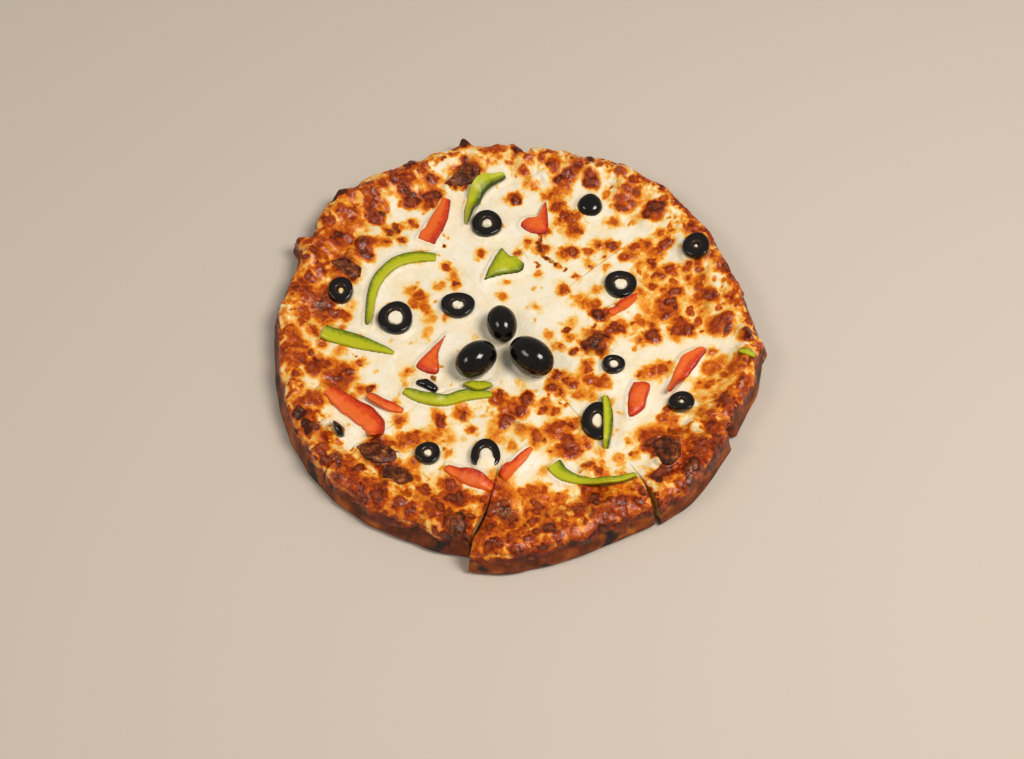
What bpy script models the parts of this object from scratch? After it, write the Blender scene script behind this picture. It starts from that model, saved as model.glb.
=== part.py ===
"""A vegetarian pizza about 26 cm across, cut into eight slices that keep the round.

Each slice is a wedge of dough with a raised crust and a wedge of baked cheese on it.
Olives, pepper, tomato and mushroom lie on the cheese. The script works in millimetres
round the point where the cuts meet, and turns them into metres in the meshes.
The origin is the middle of the footprint, on the surface that the pizza lies on.
"""

import math
import random

import bmesh
import bpy
import numpy
from mathutils import Matrix, Vector, noise
from mathutils.bvhtree import BVHTree

MM = 0.001
GAP = 0.3                   # air between one solid and the next
KERF = 0.7                  # least width of a cut
TIP_RADIUS = 2.6            # where the points of the slices end, round the hub
DOUGH_FLOOR = 6.5           # thickness of the dough inside the rim
CHEESE_DEPTH = 4.3          # thickness of the cheese inside the rim

# Each cut: angle at the rim, how far it strays to the left at 1/4, 1/2 and 3/4 of its way,
# and how much wider than the least it is at five even stations from the hub to the rim.
CUTS = (
    (-3.5, (-3.8, -4.5, -0.5), (0.0, 0.0, 0.0, 0.0, 0.3)),
    (41.0, (6.2, 7.0, 5.2), (0.0, 0.8, 0.6, 0.0, 0.4)),
    (74.8, (0.5, 2.0, 5.0), (0.0, 0.0, 0.0, 0.0, 0.3)),
    (122.5, (0.0, 1.0, 0.5), (0.0, 0.0, 0.0, 0.0, 0.3)),
    (175.0, (5.5, 5.6, 1.0), (0.0, 0.0, 0.0, 0.0, 0.3)),
    (219.9, (-1.5, -2.5, -1.0), (0.0, 0.0, 0.0, 0.0, 0.3)),
    (259.2, (2.5, 5.0, 4.5), (0.0, 0.0, 0.0, 0.2, 0.9)),
    (304.6, (0.0, 1.0, 6.0), (0.0, 0.0, 0.0, 0.5, 2.4)),
)

# Each slice, from its first cut to its next: radii at seven even stations, and its rim's height.
SLICES = (
    ((132.6, 130.6, 129.0, 128.6, 128.8, 131.0, 131.4), 0.88),
    ((131.6, 133.2, 133.5, 133.2, 133.1, 132.2, 130.6), 0.84),
    ((130.6, 131.4, 131.8, 133.4, 134.8, 134.2, 135.8), 0.86),
    ((135.9, 138.4, 140.2, 135.2, 131.2, 131.4, 131.7), 0.94),
    ((131.4, 129.8, 129.4, 129.7, 129.8, 130.2, 129.6), 1.02),
    ((129.6, 129.0, 127.6, 125.9, 124.6, 124.3, 123.5), 1.06),
    ((131.0, 129.8, 127.2, 124.8, 123.4, 123.0, 124.8), 1.02),
    ((126.6, 127.6, 126.8, 126.4, 126.8, 130.4, 132.2), 1.04),
)

# Knobs and notches of the edge: angle, how far it stands out, half its width in degrees.
EDGE_FEATURES = (
    (70.5, 1.6, 1.8),
    (87.0, -4.2, 2.4),
    (90.2, 1.6, 1.8),
    (102.8, 6.4, 2.6),
    (117.2, 1.8, 1.8),
    (135.8, 2.4, 3.0),
    (153.0, 7.0, 3.0),
    (332.9, -6.0, 2.2),
    (358.0, 2.4, 2.6),
)
EDGE_WOBBLE = 0.9           # small waves of the edge
WALL_WOBBLE = 1.1           # dents in the crust's side
WALL_WAVELENGTH = 11.0

# Rows of points from the tip outward: share of the way to the rim's foot, number of segments.
INNER_ROWS = ((0.0, 1), (0.22, 4), (0.42, 6), (0.62, 8), (0.82, 11))
# Rows on the rim: distance in from the edge, height of the dough, depth of the cheese, segments.
RIM_ROWS = (
    (28.0, 7.4, 4.0, 13),
    (20.0, 10.8, 3.4, 15),
    (14.0, 15.0, 2.6, 15),
    (9.5, 17.0, 1.9, 15),
    (5.5, 16.2, 0.9, 15),
)
# Rows down the crust's side: distance in from the edge, height.
WALL_ROWS = ((4.2, 14.0), (2.2, 9.4), (0.4, 4.6), (0.0, 2.2), (1.8, 0.0))

# Lumps that the cheese has baked into.
LUMP_SEED = 41
LUMP_COUNT = 170
LUMP_BAND = (3.0, 27.0)     # distance in from the edge
LUMP_RADIUS = (4.5, 8.5)
LUMP_HEIGHT = (-1.1, 2.9)
MOUND_COUNT = 46            # broad low mounds inside the rim
MOUND_RADIUS = (8.0, 16.0)
MOUND_HEIGHT = (-0.4, 0.9)

RING_HEIGHT = 4.2           # slices of olive
RING_SIDES = 14
PEPPER_DEPTH = 3.0
TOMATO_DEPTH = 2.6
MUSHROOM_DEPTH = 3.4
STRIP_STATIONS = 8
PATCH_SIDES = 12

# Olive rings: name, place, radius across and along, radius of the hole.
OLIVE_RINGS = (
    ("olive_ring_1", (-16.2, 74.1), (8.4, 8.6), 3.3),
    ("olive_ring_2", (98.5, 55.1), (7.2, 7.8), 1.8),
    ("olive_ring_3", (56.9, 33.8), (8.7, 8.4), 4.0),
    ("olive_ring_4", (-31.4, 20.5), (9.2, 7.6), 3.6),
    ("olive_ring_5", (-64.7, 12.3), (9.3, 9.9), 4.8),
    ("olive_ring_6", (-94.8, 28.9), (6.6, 7.2), 2.3),
    ("olive_ring_7", (51.3, -16.5), (6.0, 5.4), 2.9),
    ("olive_ring_8", (85.5, -39.7), (6.7, 5.9), 1.9),
    ("olive_ring_9", (41.8, -50.2), (8.0, 10.6), 4.4),
    ("olive_ring_10", (-45.0, -68.7), (6.4, 6.1), 2.5),
    ("olive_ring_11", (-15.6, -69.8), (7.6, 8.6), 3.8),
)
OLIVE_END = ("olive_end_1", (41.7, 87.5), (6.9, 7.2), 4.6)

# Small pieces of olive: name, the line that each follows, widths along it.
OLIVE_BITS = (
    ("olive_bit_1", ((-52.4, -26.6), (-46.6, -28.2), (-41.4, -32.0)), (3.0, 5.2, 4.0)),
    ("olive_bit_2", ((-93.2, -52.0), (-90.6, -56.0), (-89.4, -60.4)), (2.2, 4.2, 3.6)),
)

# Whole olives: name, place, length, thickness, heading.
WHOLE_OLIVES = (
    ("whole_olive_1", (-7.6, 5.4), 21.0, 16.2, 102.0),
    ("whole_olive_2", (-21.0, -17.0), 23.6, 18.0, 38.0),
    ("whole_olive_3", (8.0, -15.4), 26.0, 19.0, -40.0),
)
OLIVE_SPOT = 0.7            # how far a whole olive is flattened where it lies

# Pepper strips: name, the line that each follows, widths along it.
PEPPER_STRIPS = (
    ("green_pepper_1", ((-6.2, 107.6), (-19.2, 99.8), (-25.3, 86.2), (-27.4, 74.4)), (3.4, 8.2, 6.6, 2.6)),
    ("green_pepper_2", ((-79.2, 8.6), (-77.6, 31.5), (-69.7, 46.0), (-58.0, 52.2), (-44.1, 52.2)),
     (3.8, 5.4, 6.6, 7.6, 5.0)),
    ("green_pepper_4", ((-102.8, 3.4), (-84.1, -2.0), (-64.8, -8.8)), (9.0, 8.8, 2.4)),
    ("green_pepper_5", ((-58.8, -31.6), (-50.1, -36.2), (-38.6, -37.9), (-25.7, -34.4), (-12.4, -34.0)),
     (3.8, 5.6, 6.2, 6.8, 3.4)),
    ("green_pepper_6", ((-27.4, -28.0), (-20.0, -30.2), (-12.4, -28.4)), (3.4, 5.4, 4.0)),
    ("green_pepper_7", ((46.0, -35.4), (47.2, -49.9), (45.6, -65.4)), (2.6, 5.4, 3.0)),
    ("green_pepper_8", ((18.8, -74.2), (23.9, -80.3), (34.1, -84.1), (47.1, -85.9), (60.3, -82.6)),
     (8.6, 7.2, 4.6, 4.6, 2.6)),
    ("green_pepper_9", ((116.6, -12.6), (120.6, -13.8), (124.6, -16.2)), (2.8, 4.2, 2.8)),
)

TOMATO_STRIPS = (
    ("tomato_1", ((-38.9, 92.0), (-43.6, 76.6), (-50.0, 63.2)), (4.6, 9.2, 11.0)),
    ("tomato_4", ((-101.0, -31.0), (-87.4, -40.4), (-74.4, -50.6), (-72.2, -59.4)), (5.4, 11.0, 12.0, 7.4)),
    ("tomato_5", ((-77.6, -34.9), (-68.1, -40.2), (-58.6, -43.6)), (4.8, 6.4, 3.6)),
    ("tomato_6", ((50.1, 16.3), (57.7, 20.1), (65.5, 25.7)), (5.0, 4.4, 2.2)),
    ("tomato_8", ((100.2, -6.8), (92.2, -12.6), (86.4, -21.5), (79.0, -34.4)), (3.2, 8.8, 7.6, 2.8)),
    ("tomato_9", ((-36.2, -76.4), (-24.4, -82.0), (-11.8, -87.8)), (4.2, 8.2, 5.6)),
    ("tomato_10", ((-7.4, -82.4), (0.2, -73.4), (8.0, -65.2)), (5.2, 5.6, 2.8)),
)

# Broad pieces: name, outline, depth as a share of its kind's.
PEPPER_PATCHES = (
    ("green_pepper_3", ((-17.8, 37.0), (-14.4, 47.0), (-8.3, 57.6), (-3.0, 53.4), (4.0, 52.6),
                        (3.0, 43.4), (-8.8, 40.6)), 1.0),
)
TOMATO_PATCHES = (
    ("tomato_2", ((17.0, 90.4), (15.0, 81.4), (5.2, 78.6), (2.6, 73.4), (9.5, 68.6), (17.6, 70.4)), 0.9),
    ("tomato_3", ((-37.6, 2.6), (-45.4, -6.4), (-53.0, -16.4), (-45.8, -21.4), (-40.8, -20.4), (-41.2, -8.6)), 1.0),
    ("tomato_7", ((61.4, -26.4), (69.9, -27.0), (68.0, -36.4), (65.8, -42.8), (58.4, -46.8), (58.4, -34.4)), 1.0),
)
MUSHROOM_PATCHES = (
    ("mushroom_1", ((-40.2, 101.0), (-34.4, 108.6), (-27.0, 114.4), (-18.6, 107.6), (-23.6, 101.0),
                    (-33.4, 99.4)), 1.1),
    ("mushroom_2", ((-101.4, 47.4), (-93.9, 50.2), (-84.4, 44.4), (-85.6, 38.0), (-94.6, 38.2)), 1.0),
    ("mushroom_3", ((36.9, 0.6), (43.6, 3.4), (50.6, -0.9), (49.0, -7.4), (39.4, -7.2)), 0.9),
    ("mushroom_4", ((-81.6, -66.0), (-74.2, -61.8), (-61.0, -66.4), (-60.4, -74.0), (-73.8, -75.2)), 1.2),
    ("mushroom_5", ((-66.8, -77.4), (-56.7, -77.7), (-51.6, -83.6), (-58.8, -88.8), (-66.4, -84.8)), 1.0),
    ("mushroom_6", ((-34.4, -106.4), (-27.2, -104.4), (-23.6, -110.0), (-25.6, -116.0), (-31.6, -117.0)), 1.2),
    ("mushroom_7", ((68.6, -63.0), (76.0, -58.4), (83.0, -63.4), (81.4, -74.4), (73.6, -77.4)), 1.3),
)


def clear_scene():
    """Start from an empty file."""
    for thing in list(bpy.data.objects):
        bpy.data.objects.remove(thing, do_unlink=True)


def make_material(name, colour, roughness):
    """A plain finish for one kind of food."""
    material = bpy.data.materials.new(name)
    material.use_nodes = True
    shader = material.node_tree.nodes["Principled BSDF"]
    shader.inputs["Base Color"].default_value = (*colour, 1.0)
    shader.inputs["Roughness"].default_value = roughness
    shader.inputs["Metallic"].default_value = 0.0
    material.diffuse_color = (*colour, 1.0)
    return material


def mix(low, high, share):
    """A value between two others."""
    return low + (high - low) * share


def along(values, share):
    """A smooth curve through evenly spaced values."""
    last = len(values) - 1
    place = min(max(share, 0.0), 1.0) * last
    index = min(int(place), last - 1)
    t = place - index
    a = values[max(index - 1, 0)]
    b = values[index]
    c = values[index + 1]
    d = values[min(index + 2, last)]
    curve = 2 * b + (c - a) * t + (2 * a - 5 * b + 4 * c - d) * t * t + (3 * b - a - 3 * c + d) * t ** 3
    return 0.5 * curve


def along_line(points, share):
    """A place on the smooth line through the points."""
    return Vector((along([p[0] for p in points], share), along([p[1] for p in points], share)))


def unit(degrees):
    """The direction of an angle in plan."""
    return Vector((math.cos(math.radians(degrees)), math.sin(math.radians(degrees))))


def cut_angles(index):
    """The rim angles of a slice's two cuts, the second one larger."""
    first = CUTS[index][0]
    second = CUTS[(index + 1) % len(CUTS)][0]
    if second < first:
        second += 360.0
    return first, second


def rim_radius(index, share):
    """Radius of the edge of a slice, at a share of the way from its first cut to its next."""
    first, second = cut_angles(index)
    angle = mix(first, second, share)
    radius = along(SLICES[index][0], share)
    for middle, reach, spread in EDGE_FEATURES:
        away = abs((angle - middle + 180.0) % 360.0 - 180.0)
        if away < spread:
            radius += reach * 0.5 * (1.0 + math.cos(math.pi * away / spread))
    turn = math.radians(angle)
    radius += EDGE_WOBBLE * 0.5 * (math.sin(23 * turn + 1.3) + math.sin(41 * turn + 4.0))
    return radius


def stray(cut, share):
    """How far a cut has left its straight line, to the left."""
    return along((0.0, *CUTS[cut][1], 0.0), share)


def half_width(cut, share):
    """Half the width of a cut."""
    return 0.5 * (KERF + along(CUTS[cut][2], share))


def plan_point(index, share, radius):
    """A point of a slice in plan, clear of both its cuts."""
    first, second = cut_angles(index)
    after = (index + 1) % len(CUTS)
    way = radius / rim_radius(index, share)
    point = radius * unit(mix(first, second, share))
    point += (1.0 - share) * (stray(index, way) + half_width(index, way)) * unit(first + 90.0)
    point += share * (stray(after, way) - half_width(after, way)) * unit(second + 90.0)
    return point


def make_lumps():
    """Places, radii and heights of the lumps that the cheese has baked into."""
    draw = random.Random(LUMP_SEED)
    lumps = []
    for step in range(LUMP_COUNT):
        angle = 360.0 * (step + draw.random()) / LUMP_COUNT
        inward = mix(*LUMP_BAND, draw.random())
        place = unit(angle) * (129.0 - inward)
        lumps.append((place, mix(*LUMP_RADIUS, draw.random()), mix(*LUMP_HEIGHT, draw.random())))
    for step in range(MOUND_COUNT):
        angle = 360.0 * (step * 0.618 + 0.1 * draw.random())
        place = unit(angle) * 100.0 * math.sqrt((step + 0.5) / MOUND_COUNT)
        lumps.append((place, mix(*MOUND_RADIUS, draw.random()), mix(*MOUND_HEIGHT, draw.random())))
    return lumps


def lump_height(lumps, point):
    """Height that the lumps add at a point."""
    height = 0.0
    for place, radius, rise in lumps:
        away = (point - place).length / radius
        if away < 1.0:
            height += rise * (1.0 - away * away) ** 2
    return height


def slice_rows(index, lumps):
    """Rows of points of a slice from its tip to the edge of the cheese: place, dough and cheese heights."""
    rim_scale = SLICES[index][1]
    foot = RIM_ROWS[0][0]
    rows = []
    for way, segments in INNER_ROWS:
        row = []
        for step in range(segments + 1):
            share = step / segments
            radius = mix(TIP_RADIUS, rim_radius(index, share) - foot, way)
            point = plan_point(index, share, radius)
            top = DOUGH_FLOOR + GAP + CHEESE_DEPTH + lump_height(lumps, point)
            row.append((share, point, DOUGH_FLOOR, top))
        rows.append(row)
    for inward, dough, depth, segments in RIM_ROWS:
        row = []
        dough = mix(DOUGH_FLOOR, dough, rim_scale)
        for step in range(segments + 1):
            share = step / segments
            point = plan_point(index, share, rim_radius(index, share) - inward)
            relief = max(lump_height(lumps, point), -0.6 * depth)
            row.append((share, point, dough, dough + GAP + depth + relief))
        rows.append(row)
    return rows


def add_row(mesh, places, heights):
    """Vertices of one row or loop."""
    return [mesh.verts.new((p.x * MM, p.y * MM, z * MM)) for p, z in zip(places, heights)]


def stitch(mesh, inner, outer):
    """Triangles between two rows that may have different numbers of points."""
    i = 0
    j = 0
    while i < len(inner) - 1 or j < len(outer) - 1:
        next_inner = (i + 1) / max(len(inner) - 1, 1)
        next_outer = (j + 1) / max(len(outer) - 1, 1)
        if j < len(outer) - 1 and (next_outer <= next_inner or i == len(inner) - 1):
            mesh.faces.new((inner[i], outer[j], outer[j + 1]))
            j += 1
        else:
            mesh.faces.new((inner[i], outer[j], inner[i + 1]))
            i += 1


def join_rows(mesh, rows):
    """Stitch each row to the next."""
    for inner, outer in zip(rows, rows[1:]):
        stitch(mesh, inner, outer)


def finish_object(mesh, name, material, shift, sharp=40.0):
    """Close a mesh, turn its faces outward and make it an object."""
    bmesh.ops.recalc_face_normals(mesh, faces=mesh.faces)
    bmesh.ops.triangulate(mesh, faces=mesh.faces)
    data = bpy.data.meshes.new(name)
    mesh.to_mesh(data)
    mesh.free()
    data.transform(Matrix.Translation((shift.x * MM, shift.y * MM, 0.0)))
    data.shade_smooth()
    data.set_sharp_from_angle(angle=math.radians(sharp))
    data.materials.append(material)
    thing = bpy.data.objects.new(name, data)
    bpy.context.collection.objects.link(thing)
    return thing


def make_cheese(index, rows, material, shift):
    """The baked cheese of one slice."""
    mesh = bmesh.new()
    top = []
    bottom = []
    for row in rows:
        places = [point for _, point, _, _ in row]
        top.append(add_row(mesh, places, [cheese for _, _, _, cheese in row]))
        bottom.append(add_row(mesh, places, [dough + GAP for _, _, dough, _ in row]))
    join_rows(mesh, top)
    join_rows(mesh, bottom)
    for side in (0, -1):
        join_rows(mesh, ([row[side] for row in bottom], [row[side] for row in top]))
    stitch(mesh, bottom[0], top[0])
    stitch(mesh, bottom[-1], top[-1])
    return finish_object(mesh, f"slice_{index + 1}_cheese", material, shift)


def wall_rows(index):
    """Rows of points down the side of a slice's crust."""
    segments = RIM_ROWS[-1][3]
    rim_scale = SLICES[index][1]
    rows = []
    for inward, height in WALL_ROWS:
        places = []
        if height > DOUGH_FLOOR:
            height = mix(DOUGH_FLOOR, height, rim_scale)
        for step in range(segments + 1):
            share = step / segments
            radius = rim_radius(index, share) - inward
            spot = radius * unit(mix(*cut_angles(index), share)) / WALL_WAVELENGTH
            radius += WALL_WOBBLE * noise.noise(Vector((spot.x, spot.y, height / WALL_WAVELENGTH)))
            places.append(plan_point(index, share, radius))
        rows.append((places, height))
    return rows


def make_dough(index, rows, material, shift):
    """The dough of one slice, with its crust and flat underside."""
    mesh = bmesh.new()
    top = [add_row(mesh, [row[1] for row in line], [row[2] for row in line]) for line in rows]
    for places, height in wall_rows(index):
        top.append(add_row(mesh, places, [height] * len(places)))
    join_rows(mesh, top)
    floor = []
    for side in (0, -1):
        places = [line[side][1] for line in rows]
        under = add_row(mesh, places, [0.0] * len(places))
        floor.append(under)
        upper = [row[side] for row in top[:len(rows)]]
        stitch(mesh, under, upper)
        end = [row[side] for row in top[len(rows) - 1:]]
        for one, other in zip(end, end[1:]):
            mesh.faces.new((under[-1], one, other))
    mesh.faces.new((floor[0][0], top[0][0], top[0][-1], floor[1][0]))
    mesh.faces.new(floor[0] + top[-1] + floor[1][::-1])
    return finish_object(mesh, f"slice_{index + 1}_dough", material, shift)


class Ground:
    """The upper surface of all that has been laid down so far."""

    def __init__(self):
        self.points = []
        self.faces = []
        self.tree = None

    def add(self, thing):
        """Lay one more object down."""
        start = len(self.points)
        self.points += [vertex.co.copy() for vertex in thing.data.vertices]
        self.faces += [[start + corner for corner in face.vertices] for face in thing.data.polygons]
        self.tree = BVHTree.FromPolygons(self.points, self.faces)

    def height(self, place, shift):
        """Height of the surface at a place in plan."""
        start = Vector(((place.x + shift.x) * MM, (place.y + shift.y) * MM, 1.0))
        hit = self.tree.ray_cast(start, Vector((0.0, 0.0, -1.0)))[0]
        return hit.z / MM if hit else 0.0

    def highest(self, place, reach, shift):
        """Height that clears the surface as far as the reach."""
        best = self.height(place, shift)
        for ring in (0.35, 0.7, 1.0):
            for step in range(10):
                near = place + unit(36.0 * step + 50.0 * ring) * reach * ring
                best = max(best, self.height(near, shift))
        return best


def seat_plane(ground, places, reach, shift):
    """The plane that rests on the ground under these places."""
    heights = [ground.highest(place, reach, shift) for place in places]
    table = numpy.array([[place.x, place.y, 1.0] for place in places])
    slope = numpy.linalg.lstsq(table, numpy.array(heights), rcond=None)[0]
    lift = max(h - float(row @ slope) for h, row in zip(heights, table)) + GAP
    return lambda place: float(slope[0] * place.x + slope[1] * place.y + slope[2]) + lift


def join_loops(mesh, loops, closed=False):
    """Faces between loops with the same number of points."""
    pairs = list(zip(loops, loops[1:]))
    if closed:
        pairs.append((loops[-1], loops[0]))
    for lower, upper in pairs:
        for k, corner in enumerate(lower):
            following = (k + 1) % len(lower)
            mesh.faces.new((corner, lower[following], upper[following], upper[k]))


def oval(place, radii, sides, share=1.0):
    """Points of an uneven oval."""
    points = []
    for step in range(sides):
        angle = 360.0 * step / sides
        uneven = 1.0 + 0.03 * math.sin(math.radians(3 * angle) + place[0])
        way = unit(angle)
        points.append(Vector(place) + Vector((way.x * radii[0], way.y * radii[1])) * share * uneven)
    return points


def make_ring(name, place, radii, hole, ground, material, shift):
    """A slice of olive with its hole."""
    mesh = bmesh.new()
    hole_share = hole / max(radii)
    seat = seat_plane(ground, oval(place, radii, RING_SIDES, 0.8), 2.6, shift)
    loops = []
    for share, rise in ((hole_share, 0.0), (0.93, 0.0), (1.0, 0.5), (0.93, 1.0), (hole_share, 1.0)):
        places = oval(place, radii, RING_SIDES, share)
        loops.append(add_row(mesh, places, [seat(p) + rise * RING_HEIGHT for p in places]))
    join_loops(mesh, loops, closed=True)
    return finish_object(mesh, name, material, shift, sharp=50.0)


def make_end(name, place, radii, height, ground, material, shift):
    """The rounded end of an olive, cut side down."""
    mesh = bmesh.new()
    seat = seat_plane(ground, oval(place, radii, RING_SIDES, 0.6), 3.4, shift)
    loops = []
    for share, rise in ((0.5, 0.0), (0.97, 0.0), (1.0, 0.3), (0.82, 0.72), (0.45, 0.95)):
        places = oval(place, radii, RING_SIDES, share)
        loops.append(add_row(mesh, places, [seat(p) + rise * height for p in places]))
    join_loops(mesh, loops)
    for loop, rise in ((loops[0], 0.0), (loops[-1], 1.0)):
        middle = Vector(place)
        tip = mesh.verts.new((middle.x * MM, middle.y * MM, (seat(middle) + rise * height) * MM))
        for k, corner in enumerate(loop):
            mesh.faces.new((tip, corner, loop[(k + 1) % len(loop)]))
    return finish_object(mesh, name, material, shift, sharp=60.0)


def make_whole(name, place, length, thickness, heading, ground, material, shift):
    """A whole olive on its side, flattened where it lies."""
    mesh = bmesh.new()
    bmesh.ops.create_uvsphere(mesh, u_segments=14, v_segments=9, radius=0.5)
    turn = Matrix.Rotation(math.radians(heading), 4, "Z") @ Matrix.Rotation(math.radians(90.0), 4, "Y")
    size = Matrix.Diagonal((thickness, thickness, length, 1.0))
    bmesh.ops.transform(mesh, matrix=turn @ size, verts=mesh.verts)
    lowest = OLIVE_SPOT - thickness / 2
    base = ground.highest(Vector(place), 5.0, shift) + GAP
    for vertex in mesh.verts:
        z = max(vertex.co.z, lowest) - lowest + base
        vertex.co = Vector(((vertex.co.x + place[0]) * MM, (vertex.co.y + place[1]) * MM, z * MM))
    return finish_object(mesh, name, material, shift, sharp=60.0)


def make_strip(name, line, widths, depth, ground, material, shift):
    """A strip that follows the surface under it, with a rounded back."""
    mesh = bmesh.new()
    loops = []
    for step in range(STRIP_STATIONS):
        share = step / (STRIP_STATIONS - 1)
        middle = along_line(line, share)
        heading = (along_line(line, share + 0.02) - along_line(line, share - 0.02)).normalized()
        left = Vector((-heading.y, heading.x))
        half = along(widths, share) / 2
        tall = depth * min(1.0, 0.45 + half / 4.0)
        corners = []
        for side, rise in ((1.0, 0.0), (-1.0, 0.0), (-0.86, 0.7), (0.0, 1.0), (0.86, 0.7)):
            spot = middle + left * half * side
            corners.append((spot, rise * tall))
        edge_heights = [ground.highest(spot, 4.6, shift) + GAP for spot, _ in corners[:2]]
        heights = []
        for spot, rise in corners:
            side = (spot - middle).dot(left) / half
            heights.append(mix(edge_heights[1], edge_heights[0], 0.5 + 0.5 * side) + rise)
        loops.append(add_row(mesh, [spot for spot, _ in corners], heights))
    join_loops(mesh, loops)
    mesh.faces.new(loops[0])
    mesh.faces.new(loops[-1])
    return finish_object(mesh, name, material, shift, sharp=55.0)


def make_patch(name, outline, depth, ground, material, shift):
    """A broad piece that follows the surface under it, thinner at its border."""
    mesh = bmesh.new()
    closed = list(outline) + [outline[0]]
    border = [along_line(closed, step / PATCH_SIDES) for step in range(PATCH_SIDES)]
    middle = sum(border, Vector((0.0, 0.0))) / PATCH_SIDES
    loops = []
    for share, rise in ((0.5, 0.0), (1.0, 0.0), (0.94, 0.6), (0.55, 0.95)):
        places = [middle + (spot - middle) * share for spot in border]
        floor = [ground.highest(spot, 4.6, shift) + GAP for spot in places]
        uneven = [1.0 + 0.25 * noise.noise(Vector((spot.x, spot.y, 7.0)) / 6.0) for spot in places]
        heights = [low + rise * depth * more for low, more in zip(floor, uneven)]
        loops.append(add_row(mesh, places, heights))
    join_loops(mesh, loops)
    base = ground.highest(middle, 4.6, shift) + GAP
    for loop, rise in ((loops[0], 0.0), (loops[-1], depth)):
        tip = mesh.verts.new((middle.x * MM, middle.y * MM, (base + rise) * MM))
        for k, corner in enumerate(loop):
            mesh.faces.new((tip, corner, loop[(k + 1) % len(loop)]))
    return finish_object(mesh, name, material, shift, sharp=55.0)


def footprint_shift():
    """The move that brings the middle of the footprint to the origin."""
    rim = []
    for index in range(len(SLICES)):
        for places, _ in wall_rows(index):
            rim += places
    xs = [point.x for point in rim]
    ys = [point.y for point in rim]
    return Vector((-(min(xs) + max(xs)) / 2, -(min(ys) + max(ys)) / 2))


def main():
    clear_scene()
    dough = make_material("baked_dough", (0.42, 0.17, 0.05), 0.75)
    cheese = make_material("baked_cheese", (0.86, 0.62, 0.30), 0.45)
    olive = make_material("black_olive", (0.015, 0.012, 0.012), 0.25)
    pepper = make_material("green_pepper", (0.32, 0.42, 0.03), 0.35)
    tomato = make_material("tomato", (0.72, 0.11, 0.03), 0.35)
    mushroom = make_material("baked_mushroom", (0.20, 0.08, 0.03), 0.6)
    shift = footprint_shift()
    lumps = make_lumps()
    ground = Ground()
    for index in range(len(SLICES)):
        rows = slice_rows(index, lumps)
        make_dough(index, rows, dough, shift)
        ground.add(make_cheese(index, rows, cheese, shift))
    for name, outline, share in MUSHROOM_PATCHES:
        ground.add(make_patch(name, outline, MUSHROOM_DEPTH * share, ground, mushroom, shift))
    for name, outline, share in TOMATO_PATCHES:
        ground.add(make_patch(name, outline, TOMATO_DEPTH * share, ground, tomato, shift))
    for name, outline, share in PEPPER_PATCHES:
        ground.add(make_patch(name, outline, PEPPER_DEPTH * share, ground, pepper, shift))
    for name, place, radii, hole in OLIVE_RINGS:
        ground.add(make_ring(name, place, radii, hole, ground, olive, shift))
    name, place, radii, height = OLIVE_END
    ground.add(make_end(name, place, radii, height, ground, olive, shift))
    for name, line, widths in OLIVE_BITS:
        ground.add(make_strip(name, line, widths, PEPPER_DEPTH, ground, olive, shift))
    for name, line, widths in TOMATO_STRIPS:
        ground.add(make_strip(name, line, widths, TOMATO_DEPTH, ground, tomato, shift))
    for name, line, widths in PEPPER_STRIPS:
        ground.add(make_strip(name, line, widths, PEPPER_DEPTH, ground, pepper, shift))
    for name, place, length, thickness, heading in WHOLE_OLIVES:
        ground.add(make_whole(name, place, length, thickness, heading, ground, olive, shift))


main()
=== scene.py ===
"""The looks of a baked vegetarian pizza, cut into eight slices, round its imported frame.

The script works in millimetres round the point where the cuts meet, as the frame's own
source does, and turns them into metres in the meshes. It repeats the outline, the cuts,
the heights and the toppings of the frame, and adds what baking does: browned spots that
have risen, oily cheese that hugs the toppings, and a rough, dark crust.
"""

import math
import random

import bmesh
import bpy
import numpy
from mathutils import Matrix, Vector, noise
from mathutils.bvhtree import BVHTree


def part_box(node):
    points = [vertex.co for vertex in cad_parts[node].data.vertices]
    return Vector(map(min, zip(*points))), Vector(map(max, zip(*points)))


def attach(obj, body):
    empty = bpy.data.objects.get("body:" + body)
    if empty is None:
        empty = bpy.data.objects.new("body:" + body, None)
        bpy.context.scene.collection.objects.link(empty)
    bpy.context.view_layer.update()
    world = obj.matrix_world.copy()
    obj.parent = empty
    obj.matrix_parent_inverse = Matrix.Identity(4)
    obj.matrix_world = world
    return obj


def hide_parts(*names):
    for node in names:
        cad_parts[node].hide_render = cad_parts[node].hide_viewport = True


MM = 0.001

# The frame's own values, in millimetres.
GAP = 0.3
KERF = 0.7
TIP_RADIUS = 2.6
DOUGH_FLOOR = 6.5
CHEESE_DEPTH = 4.3
CUTS = (
    (-3.5, (-3.8, -4.5, -0.5), (0.0, 0.0, 0.0, 0.0, 0.3)),
    (41.0, (6.2, 7.0, 5.2), (0.0, 0.8, 0.6, 0.0, 0.4)),
    (74.8, (0.5, 2.0, 5.0), (0.0, 0.0, 0.0, 0.0, 0.3)),
    (122.5, (0.0, 1.0, 0.5), (0.0, 0.0, 0.0, 0.0, 0.3)),
    (175.0, (5.5, 5.6, 1.0), (0.0, 0.0, 0.0, 0.0, 0.3)),
    (219.9, (-1.5, -2.5, -1.0), (0.0, 0.0, 0.0, 0.0, 0.3)),
    (259.2, (2.5, 5.0, 4.5), (0.0, 0.0, 0.0, 0.2, 0.9)),
    (304.6, (0.0, 1.0, 6.0), (0.0, 0.0, 0.0, 0.5, 2.4)),
)
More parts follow.
